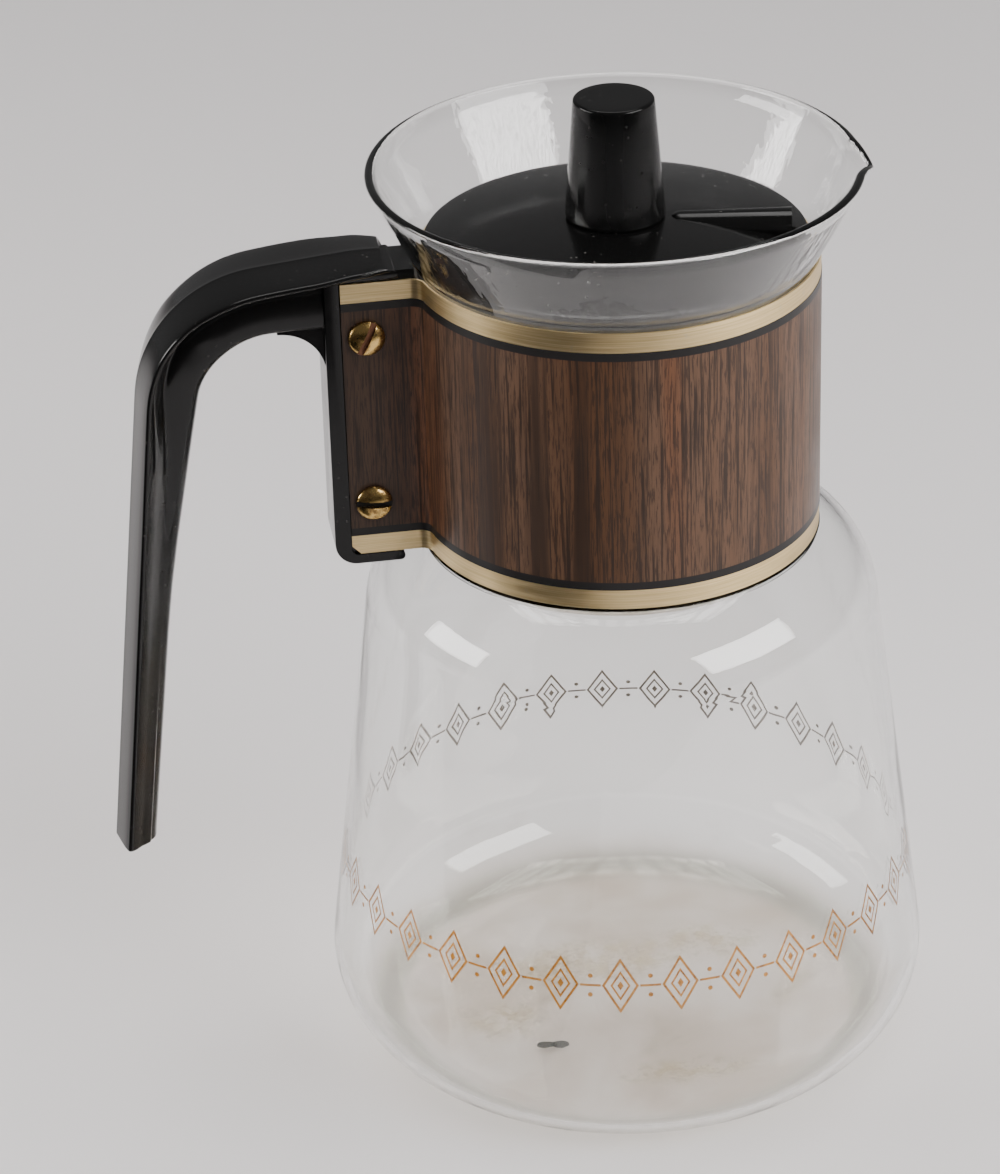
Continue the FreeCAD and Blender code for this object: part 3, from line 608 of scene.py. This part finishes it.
def build_border(front, back):
    bm = bmesh.new()
    motif = border_motif()
    for i in range(BORDER_COUNT):
        start = BORDER_TURN + 2 * math.pi * i / BORDER_COUNT
        for corners in motif:
            outside = [bm.verts.new(on_wall(p, start)) for p in corners]
            lift = [bm.verts.new(v.co + Vector((v.co.x, v.co.y, 0)).normalized() * PRINT_THICK)
                    for v in outside]
            count = len(corners)
            for j in range(count):
                k = (j + 1) % count
                bm.faces.new((outside[j], outside[k], lift[k], lift[j]))
            bm.faces.new(lift)
            bm.faces.new(outside).material_index = 1
    return make_object("gold_border", bm, "root", [front, back])


# ------------------------------------------------------------------ neck band and foil

BAND_RADIUS = 50.3
EAR_HALF = 7.9
BEND = 3.4
BAND_THICK, FOIL_THICK = 0.5, 0.12
EAR_CHAMFER = 2.2


def band_plan(offset, reach):
    """The band seen from above, at an offset from its outer face: ear, bend, neck, bend, ear."""
    radius, half, bend = BAND_RADIUS + offset, EAR_HALF + offset, BEND - offset
    centre = Vector((-math.sqrt((radius + bend) ** 2 - (half + bend) ** 2), half + bend))
    line = [Vector((-reach, half)), Vector((-reach + EAR_CHAMFER, half))]
    line += [Vector((x, half)) for x in (-64.0, -60.0, -56.0) if x < centre.x - 1]
    end = math.atan2(-centre.y, -centre.x)
    for i in range(13):
        angle = -math.pi / 2 + (end + math.pi / 2) * i / 12
        line.append(centre + Vector((math.cos(angle), math.sin(angle))) * bend)
    first = math.atan2(centre.y, centre.x)
    steps = 180
    for i in range(1, steps):
        angle = first * (1 - 2 * i / steps)
        line.append(Vector((math.cos(angle), math.sin(angle))) * radius)
    mirrored = [Vector((p.x, -p.y)) for p in reversed(line[:-(steps - 1)])]
    return line + mirrored


def wrap(low, high, outer, inner, reach, chamfer, heights):
    """A thin sheet round the neck between two offsets, with rows at the given heights."""
    bm = bmesh.new()
    outside, inside = band_plan(outer, reach), band_plan(inner, reach)
    rows = [low] + [h for h in heights if low < h < high] + [high]
    count = len(outside)

    def height_at(index, k):
        """A row's height; where an end is chamfered its rows stay a hair apart."""
        if index in (0, count - 1):
            return max(rows[k], low + chamfer) + 0.001 * k
        return rows[k]

    grid = [[[bm.verts.new((p.x, p.y, height_at(i, k))) for i, p in enumerate(plan)]
             for k in range(len(rows))] for plan in (outside, inside)]
    for side in grid:
        for a, b in zip(side, side[1:]):
            for i in range(count - 1):
                bm.faces.new((a[i], a[i + 1], b[i + 1], b[i]))
    edges = []
    for k in (0, -1):
        a, b = grid[0][k], grid[1][k]
        edges += [bm.faces.new((a[i], a[i + 1], b[i + 1], b[i])) for i in range(count - 1)]
    for i in (0, -1):
        for a, b, c, d in zip(grid[0], grid[0][1:], grid[1], grid[1][1:]):
            edges.append(bm.faces.new((a[i], b[i], d[i], c[i])))
    for face in edges:
        face.material_index = 1
    return bm


def screw_holes(piece, radius, turns=48):
    """Cuts the two clamp screws' holes right through a piece."""
    for low, high in (SCREW_LOW, SCREW_UP):
        tool = lathe([(0, -30), (radius, -30), (radius, 30), (0, 30)], turns)
        place = Matrix.Translation(((low.x + high.x) / 2, 0, (low.z + high.z) / 2))
        boolean(piece, moved(tool, place @ Matrix.Rotation(math.radians(90), 4, "X")), "DIFFERENCE")


def build_band(gilt, edge):
    bm = wrap(BAND_LOW.z, BAND_HIGH.z, 0.0, -BAND_THICK, -BAND_LOW.x, EAR_CHAMFER,
              [BAND_LOW.z + EAR_CHAMFER, 160.0, 180.0, 200.0, 215.0])
    piece = make_object("band_metal", bm, "root", [gilt, edge])
    screw_holes(piece, 2.7)
    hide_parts("neck_band")
    return piece


def build_foil(material):
    bm = wrap(FOIL_LOW.z, FOIL_HIGH.z, FOIL_THICK, 0.005, 0.05 - BAND_LOW.x, 0.0,
              [160.0, 180.0, 200.0, 212.0])
    for face in bm.faces:
        face.material_index = 0
    piece = make_object("band_foil", bm, "root", material)
    screw_holes(piece, 2.9)
    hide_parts("woodgrain_foil")
    return piece


# ------------------------------------------------------------------ handle

GRIP_END = (133.2, 69.5)
RIDGE = [(56, 226.8), (64, 227.1, 60), (117, 221.9, 34), GRIP_END]
INNER = [(50, 208.9), (101.4, 208.9, 19.5), (114.3, 141, 380), (122.9, 69.5), (123.5, 60)]
# Half-width of the flange, and how far its crown falls to its edge, along the ridge
FLANGE_WIDTH = [(0, 10.0), (9, 12.6), (20, 14.3), (40, 14.3), (57, 12.9), (68, 12.0), (82, 11.0),
                (110, 10.6), (160, 10.0), (200, 9.4)]
CROWN_DROP = [(0, 0.9), (10, 1.0), (24, 0.9), (45, 1.4), (60, 1.4), (80, 1.9), (120, 2.1),
              (200, 2.2)]
GRIP_SHARE = [(48, 0.0), (100, 1.0)]        # 0 where the rib is a thick bar, 1 where it tapers
BLOCK_HALF = 7.3
NECK_CHAMFER = 2.4
FRAME_HALF = 8.1


def inner_depth(point, inward):
    """How far the handle reaches from a ridge point along the inward normal."""
    line = rounded(INNER, 2.0)
    best = 40.0
    for a, b in zip(line, line[1:]):
        edge = b - a
        cross = inward.x * edge.y - inward.y * edge.x
        if abs(cross) < 1e-9:
            continue
        gap = a - point
        along = (gap.x * edge.y - gap.y * edge.x) / cross
        share = (gap.x * inward.y - gap.y * inward.x) / cross
        if along > 0 and -1e-6 <= share <= 1 + 1e-6:
            best = min(best, along)
    return best


def handle_section(along, depth):
    """Half of the section, as (depth below the ridge, half-width), from crown to rib."""
    wide = blend_at(FLANGE_WIDTH, along)
    drop = blend_at(CROWN_DROP, along)
    grip = blend_at(GRIP_SHARE, along)
    groove = depth - drop
    bar = [(drop + 1.5, wide - 0.6), (drop + 1.9, wide - 2.2), (drop + 0.14 * groove, 7.0),
           (drop + 0.20 * groove, 5.9), (drop + 0.26 * groove, 6.7), (drop + 0.34 * groove, 7.4),
           (drop + 0.70 * groove, 7.4), (drop + 0.90 * groove, 7.2), (drop + 0.97 * groove, 5.9),
           (depth, 2.6)]
    leaf = [(drop + 1.8, wide - 0.5), (drop + 2.9, wide - 1.5), (6.0, wide * 0.70), (7.0, 6.0),
            (7.8, 5.1), (8.6, 4.6), (depth * 0.82, 3.9), (depth - 1.1, 3.2), (depth - 0.3, 1.9),
            (depth, 0.7)]
    lower = [(a[0] + (b[0] - a[0]) * grip, a[1] + (b[1] - a[1]) * grip)
             for a, b in zip(bar, leaf)]
    crown = [(-0.14, 0.0), (0.05, 0.5), (drop * 0.34, wide * 0.4), (drop * 0.75, wide * 0.8),
             (drop, wide - 0.7), (drop + 0.18, wide - 0.12), (drop + 0.75, wide),
             (drop + 1.15, wide - 0.12)]
    return crown + lower


def handle_sweep():
    """The bmesh of the arm and grip: sections across the ridge line."""
    line = spread(rounded(RIDGE, 4.0), 3.0)
    sections = []
    travelled = 0.0
    count = len(line)
    for i, point in enumerate(line):
        if i:
            travelled += (point - line[i - 1]).length
        ahead = line[min(i + 1, count - 1)] - line[max(i - 1, 0)]
        inward = Vector((ahead.y, -ahead.x)).normalized()
        if i == count - 1:
            inward = Vector((-0.994, -0.105))
        depth = min(inner_depth(point, inward), 19.0)
        half = handle_section(travelled, depth)
        full = half + [(d, -w) for d, w in reversed(half[1:])]
        section = []
        for d, w in full:
            p = point + inward * d
            if i == 0:
                p = p + Vector((NECK_CHAMFER * (1 - min(d, 5.0) / 3.4), 0))
            section.append(Vector((-p.x, w, p.y)))
        sections.append(section)
    # Close support rows keep the two ends crisp when the surface is subdivided.
    first = [a.lerp(b, 0.12) for a, b in zip(sections[0], sections[1])]
    last = [a.lerp(b, 0.2) for a, b in zip(sections[-1], sections[-2])]
    middle = sum(sections[-1], Vector()) / len(sections[-1])
    tip = [p.lerp(middle, 0.05) + Vector((0, 0, -0.5)) for p in sections[-1]]
    return loft([sections[0], first] + sections[1:-1] + [last, sections[-1], tip])


def subdivided(piece, levels):
    """Smooths a piece's mesh by subdivision, applied."""
    modifier = piece.modifiers.new("smooth", "SUBSURF")
    modifier.levels = levels
    modifier.render_levels = levels
    graph = bpy.context.evaluated_depsgraph_get()
    mesh = bpy.data.meshes.new_from_object(piece.evaluated_get(graph))
    piece.modifiers.clear()
    piece.data = mesh
    return piece


def loop_outline(corners, step=8.0):
    """A closed rounded outline: the first corner is where it starts and ends."""
    line = rounded(corners + [corners[0]], step)
    return [(-p.x, p.y) for p in line[:-1]]


def build_handle(material):
    piece = make_object("handle_body", handle_sweep(), "root", material, None)
    subdivided(piece, 2)
    core = loop_outline([(50.9, 148.6), (69.4, 148.6), (69.4, 224), (50.9, 224)])
    boolean(piece, slab(core, -BLOCK_HALF, BLOCK_HALF), "UNION", clean=True)
    top = loop_outline([(60, 221.9), (73.4, 221.9), (73.4, 224.2), (55.0, 224.2, 1.2),
                        (55.0, 221.9)])
    boolean(piece, slab(top, -FRAME_HALF, FRAME_HALF, 0.8), "UNION")
    corner = loop_outline([(70, 213), (84.8, 213), (84.8, 208.9), (73.2, 208.9, 11.4), (73.2, 196),
                           (70, 196)], 5.0)
    boolean(piece, slab(corner, -5.9, 5.9, 2.2, 5), "UNION")
    frame_line = loop_outline([(62, 145.5), (73.4, 145.5, 5.5), (73.4, 223.5), (69.4, 223.5),
                               (69.4, 147.9, 1.8), (56, 147.9, 1.1), (56, 145.5, 1.1)])
    boolean(piece, slab(frame_line, -FRAME_HALF, FRAME_HALF, 0.45), "UNION")
    screw_holes(piece, 2.6, 32)
    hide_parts("handle")
    return piece


# ------------------------------------------------------------------ clamp screws and nuts

HEAD_RADIUS, HEAD_HEIGHT = 4.55, 2.3
SLOT_FLOOR, SLOT_HALF = 0.95, 0.8
SHANK_RADIUS, NUT_BORE = 2.4, 2.42
NUT_TURNS = 24


def build_screw(name, node, box, turn, metal, fill):
    """A slotted domed screw with its head at -Y and its end at +Y."""
    low, high = box
    length = high.y - low.y
    dome = [(0, HEAD_HEIGHT)]
    for i in range(1, 13):
        angle = math.radians(7 * i)
        dome.append((HEAD_RADIUS * math.sin(angle) / math.sin(math.radians(84)),
                     HEAD_HEIGHT * (0.30 + 0.70 * math.cos(angle * 1.02))))
    dome += [(HEAD_RADIUS, 0.35), (HEAD_RADIUS - 0.25, 0.0)]
    tip = HEAD_HEIGHT - length
    shank = [(SHANK_RADIUS, 0.0), (SHANK_RADIUS, tip + 0.5), (1.9, tip), (0, tip)]
    piece = make_object(name, lathe(dome + shank, 72), "root", [metal, fill])
    slot = slab([(-8, SLOT_FLOOR), (8, SLOT_FLOOR), (8, 4), (-8, 4)], -SLOT_HALF, SLOT_HALF)
    boolean(piece, slot, "DIFFERENCE")
    for polygon in piece.data.polygons:
        if abs(polygon.center.z - SLOT_FLOOR * MM) < 0.02 * MM:
            polygon.material_index = 1
    place = Matrix.Translation(Vector(((low.x + high.x) / 2, low.y + HEAD_HEIGHT,
                                       (low.z + high.z) / 2)) * MM)
    spin = Matrix.Rotation(math.radians(90), 4, "X") @ Matrix.Rotation(math.radians(turn), 4, "Z")
    piece.data.transform(place @ spin)
    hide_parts(node)
    return piece


def build_nut(name, node, metal):
    """A hexagon nut with chamfered corners."""
    low, high = [Vector(c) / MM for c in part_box(node)]
    thick = high.y - low.y
    radius = (high.x - low.x) / 2
    bm = bmesh.new()
    rows = []
    for height, inset in ((0, 0.5), (0.45, 0), (thick - 0.45, 0), (thick, 0.5)):
        ring = []
        for i in range(NUT_TURNS):
            angle = 2 * math.pi * i / NUT_TURNS
            flat = radius * math.cos(math.pi / 6)
            reach = flat / math.cos((angle + math.pi / 6) % (math.pi / 3) - math.pi / 6)
            reach = min(reach, radius - inset)
            ring.append(bm.verts.new((reach * math.cos(angle), reach * math.sin(angle), height)))
        rows.append(ring)
    bore_low = [bm.verts.new((NUT_BORE * math.cos(2 * math.pi * i / NUT_TURNS),
                              NUT_BORE * math.sin(2 * math.pi * i / NUT_TURNS), 0))
                for i in range(NUT_TURNS)]
    bore_high = [bm.verts.new((v.co.x, v.co.y, thick)) for v in bore_low]
    rings = [bore_low] + rows + [bore_high, bore_low]
    for a, b in zip(rings, rings[1:]):
        for i in range(NUT_TURNS):
            j = (i + 1) % NUT_TURNS
            bm.faces.new((a[i], a[j], b[j], b[i]))
    middle = (low + high) / 2
    place = Matrix.Translation((middle.x, low.y, middle.z)) @ Matrix.Rotation(
        math.radians(-90), 4, "X")
    piece = make_object(name, moved(bm, place), "root", metal)
    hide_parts(node)
    return piece


# ------------------------------------------------------------------ lid

LID_RADIUS = 47.4
DOME_RADIUS = 200.0
LID_SHELL = 2.2
HOOD_TURN = math.radians(-13)
HOOD_START, HOOD_END = 16.0, 43.0
HOOD_HEIGHT = 227.7
HOOD_RADII = (3.4, 4.4)
HOOD_WALL = 0.9
LID_CROWN = 230.7


def dome_height(radius, lower=0.0):
    """Height of the lid's domed top, or of a surface that far below it."""
    reach = DOME_RADIUS - lower
    return LID_CROWN - DOME_RADIUS + math.sqrt(reach ** 2 - radius ** 2)


def hood_tube(shrink, start, end, nose):
    """A slender cone along +X with an optional round nose, as a bmesh."""
    slope = (HOOD_RADII[1] - HOOD_RADII[0]) / (HOOD_END - HOOD_START)

    def radius_at(x):
        return HOOD_RADII[0] + slope * (x - HOOD_START) - shrink

    line = [(0, start - radius_at(start) if nose else start)]
    if nose:
        for i in range(1, 8):
            angle = math.radians(90 * i / 8)
            line.append((radius_at(start) * math.sin(angle),
                         start - radius_at(start) * math.cos(angle)))
    line += [(radius_at(start), start), (radius_at(end), end), (0, end)]
    lift = Matrix.Translation((0, 0, HOOD_HEIGHT)) @ Matrix.Rotation(math.radians(90), 4, "Y")
    return moved(lathe(line, 64), Matrix.Rotation(HOOD_TURN, 4, "Z") @ lift)


def build_lid(material):
    edge = 0.7
    top = [(r, dome_height(r)) for r in (6, 12.4, 18, 24, 30, 36, 41, 44.5, LID_RADIUS - edge)]
    rim = dome_height(LID_RADIUS - edge)
    line = top + [(LID_RADIUS - 0.2, rim - 0.2), (LID_RADIUS, rim - edge), (LID_RADIUS, 222.9),
                  (LID_RADIUS - 0.4, 222.5), (43.5, 222.5), (43.5, 216.4), (45.0, 216.4),
                  (45.0, 214.6), (43.5, 214.6), (43.5, LID_LOW.z), (41.3, LID_LOW.z),
                  (41.3, 222.5)]
    under = [(r, dome_height(r, LID_SHELL)) for r in (41.3, 36, 28, 20, 12, 6)]
    line += [p for p in under if p[1] > 222.6] + [(2.2, dome_height(2.2, LID_SHELL))]
    line.append((2.2, dome_height(2.2)))
    piece = make_object("lid_shell", lathe(line + [line[0]], 256), "lid", material)
    hood = make_object("hood", hood_tube(0.0, HOOD_START, HOOD_END, True), None, material)
    boolean(hood, lathe([(0, 200), (60, 200)] + [(r, dome_height(r, 1.0)) for r in
                                                 (46, 40, 34, 28, 22, 16, 10, 5, 0)], 128),
            "DIFFERENCE")
    joined = bmesh.new()
    joined.from_mesh(hood.data)
    bmesh.ops.scale(joined, vec=(1 / MM,) * 3, verts=joined.verts)
    bpy.data.objects.remove(hood)
    boolean(piece, joined, "UNION")
    boolean(piece, hood_tube(HOOD_WALL, HOOD_START + 4, HOOD_END + 1, False), "DIFFERENCE")
    slot = slab([(HOOD_START + 5, 220), (HOOD_END - 6, 220), (HOOD_END - 6, HOOD_HEIGHT),
                 (HOOD_START + 5, HOOD_HEIGHT)], -2.1, 2.1)
    boolean(piece, moved(slot, Matrix.Rotation(HOOD_TURN, 4, "Z")), "DIFFERENCE")
    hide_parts("lid_cover")
    return piece


def build_knob(material):
    base, top = KNOB_LOW.z, KNOB_HIGH.z
    line = rounded([(2.0, base), (12.4, base, 1.1), (9.9, top, 0.8), (0, top)], 8.0)
    line = [(p.x, p.y) for p in spread(line, 3.0)]
    line = [(0, base + 13), (2.0, base + 13)] + line
    piece = make_object("knob", lathe(line, 128), "lid", material)
    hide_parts("lid_knob")
    return piece


# ------------------------------------------------------------------ all pieces

glass = glass_material()
handle_black = phenolic("handle_plastic", 0.12, 0.15, 0.20)
lid_black = phenolic("lid_plastic", 0.15, 0.5, 0.24)
knob_black = phenolic("knob_plastic", 0.15, 0.12, 0.11)
gilt, edge_metal = gilt_metal(), raw_edge()
brass = screw_brass("screw_metal")

build_vessel(glass)
build_border(print_gold(), print_back())
build_band(gilt, edge_metal)
build_foil(woodgrain(2.1))
build_handle(handle_black)
build_screw("screw_upper", "handle_screw_upper", SCREW_UP, 64, brass, rust())
# The lower screw's slot floor is coloured near-black, darker than the rest of the head.
build_screw("screw_lower", "handle_screw_lower", SCREW_LOW, -4, brass,
            phenolic("slot_dark", 0.6, 0.0))
build_nut("nut_upper", "handle_nut_upper", brass)
build_nut("nut_lower", "handle_nut_lower", brass)
build_lid(lid_black)
build_knob(knob_black)

for name, finish in (("neck_liner", liner_card()), ("lid_seal_ring", soft_rubber()),
                     ("handle_washer_upper", brass), ("handle_washer_lower", brass),
                     ("lid_knob_screw", brass), ("lid_knob_washer", brass)):
    for material_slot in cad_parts[name].material_slots:
        material_slot.material = finish

# ------------------------------------------------------------------ studio

# The camera looks down at the carafe; the handle's plane is turned a little towards it.
CAMERA_TURN = 10.0
CAMERA_DISTANCE, CAMERA_HEIGHT = 0.9410, 0.6363
CAMERA_PITCH, CAMERA_PAN, CAMERA_ROLL = 28.401, -1.658, -0.884
CAMERA_LENS = 128.27
AIM_HEIGHT = 0.12


def plane(name, width, height, material):
    """A flat stage sheet in its own XY plane, in metres."""
    mesh = bpy.data.meshes.new(name)
    x, y = width / 2, height / 2
    mesh.from_pydata([(-x, -y, 0), (x, -y, 0), (x, y, 0), (-x, y, 0)], [], [(0, 1, 2, 3)])
    mesh.materials.append(material)
    sheet = bpy.data.objects.new(name, mesh)
    bpy.context.scene.collection.objects.link(sheet)
    return sheet


def aimed(obj, position, target):
    """Puts an object somewhere and points its +Z at the target."""
    obj.location = position
    obj.rotation_euler = (Vector(target) - Vector(position)).to_track_quat("Z", "Y").to_euler()


def lamp_cloth(strength, slats):
    """A softbox front: bright cloth behind thin slats."""
    n = Nodes("lamp_cloth")
    wave = n.put("ShaderNodeTexWave", {"Vector": n.place, "Scale": slats, "Distortion": 1.5,
                                       "Detail": 1.0}, wave_type="BANDS", bands_direction="X")
    level = n.ramp(wave.outputs["Fac"], 0.15, 0.5, strength * 0.35, strength)
    light = n.put("ShaderNodeEmission", {"Color": (1.0, 0.985, 0.97, 1.0), "Strength": level})
    return n.finish(light)


def softbox(name, azimuth, elevation, distance, width, height, cloth):
    """A softbox that lights the carafe from an azimuth (0 is the camera's side, + is right)."""
    box = plane(name, width, height, cloth)
    turn = math.radians(-90 - CAMERA_TURN + azimuth)
    rise = math.radians(elevation)
    place = Vector((math.cos(turn) * math.cos(rise), math.sin(turn) * math.cos(rise),
                    math.sin(rise))) * distance
    aimed(box, Vector((0, 0, AIM_HEIGHT)) + place, (0, 0, AIM_HEIGHT))
    box.visible_camera = False
    box.visible_shadow = False
    return box


def make_camera():
    """The camera at the values above: tilted down, then panned and rolled a little."""
    turn, pitch = math.radians(CAMERA_TURN), math.radians(CAMERA_PITCH)
    pan, roll = math.radians(CAMERA_PAN), math.radians(CAMERA_ROLL)
    place = Vector((-math.sin(turn) * CAMERA_DISTANCE, -math.cos(turn) * CAMERA_DISTANCE,
                    CAMERA_HEIGHT))
    level = Vector((math.sin(turn), math.cos(turn), 0))
    right = Vector((math.cos(turn), -math.sin(turn), 0))
    forward = level * math.cos(pitch) - Vector((0, 0, math.sin(pitch)))
    up = right.cross(forward)
    ahead = forward * math.cos(pan) + right * math.sin(pan)
    across = right * math.cos(pan) - forward * math.sin(pan)
    side = across * math.cos(roll) + up * math.sin(roll)
    top = up * math.cos(roll) - across * math.sin(roll)
    data = bpy.data.cameras.new("camera")
    data.lens = CAMERA_LENS
    camera = bpy.data.objects.new("camera", data)
    bpy.context.scene.collection.objects.link(camera)
    basis = Matrix((side, top, -ahead)).transposed().to_4x4()
    camera.matrix_world = Matrix.Translation(place) @ basis
    bpy.context.scene.camera = camera


def make_world(front, back, seen):
    """A room that is dark in front of the carafe and pale behind it; what is seen direct is even."""
    world = bpy.data.worlds.new("studio")
    world.use_nodes = True
    tree = world.node_tree
    place = tree.nodes.new("ShaderNodeTexCoord")
    split = tree.nodes.new("ShaderNodeSeparateXYZ")
    depth = tree.nodes.new("ShaderNodeMapRange")
    path = tree.nodes.new("ShaderNodeLightPath")
    choose = tree.nodes.new("ShaderNodeMix")
    depth.inputs["From Min"].default_value = -0.3
    depth.inputs["From Max"].default_value = 0.6
    depth.inputs["To Min"].default_value = front
    depth.inputs["To Max"].default_value = back
    choose.inputs["B"].default_value = seen
    tree.links.new(place.outputs["Generated"], split.inputs[0])
    tree.links.new(split.outputs["Y"], depth.inputs["Value"])
    tree.links.new(path.outputs["Is Camera Ray"], choose.inputs["Factor"])
    tree.links.new(depth.outputs["Result"], choose.inputs["A"])
    background = tree.nodes["Background"]
    background.inputs["Color"].default_value = (0.98, 0.965, 0.97, 1.0)
    tree.links.new(choose.outputs["Result"], background.inputs["Strength"])
    bpy.context.scene.world = world


def make_flag(name, left, right, near, far):
    """A black card in front of the carafe that only the gloss sees, as on a studio table."""
    n = Nodes("black_card")
    card = plane(name, right - left, far - near, n.finish(n.put("ShaderNodeBsdfDiffuse", {
        "Color": (0.01, 0.01, 0.01, 1.0)})))
    place = Vector(((left + right) / 2, -(near + far) / 2, 0.001))
    card.location = Matrix.Rotation(math.radians(-CAMERA_TURN), 3, "Z") @ place
    card.rotation_euler.z = math.radians(-CAMERA_TURN)
    for ray in ("camera", "diffuse", "transmission", "volume_scatter", "shadow"):
        setattr(card, "visible_" + ray, False)


make_camera()
make_world(0.14, 0.26, 0.62)
make_flag("flag_front", -1.5, 1.5, 0.42, 2.9)
make_flag("flag_left", -0.9, -0.06, 0.10, 0.42)
plane("floor", 8.0, 8.0, paper("paper")).location.z = -0.0002
side_cloth = lamp_cloth(21.0, 9.0)
softbox("key_left", -84, 17, 1.3, 0.90, 0.40, side_cloth)
softbox("key_right", 61, 29, 1.3, 1.00, 0.52, side_cloth)
softbox("ceiling", 180, 78, 1.8, 1.7, 1.0, lamp_cloth(6.0, 2.0))
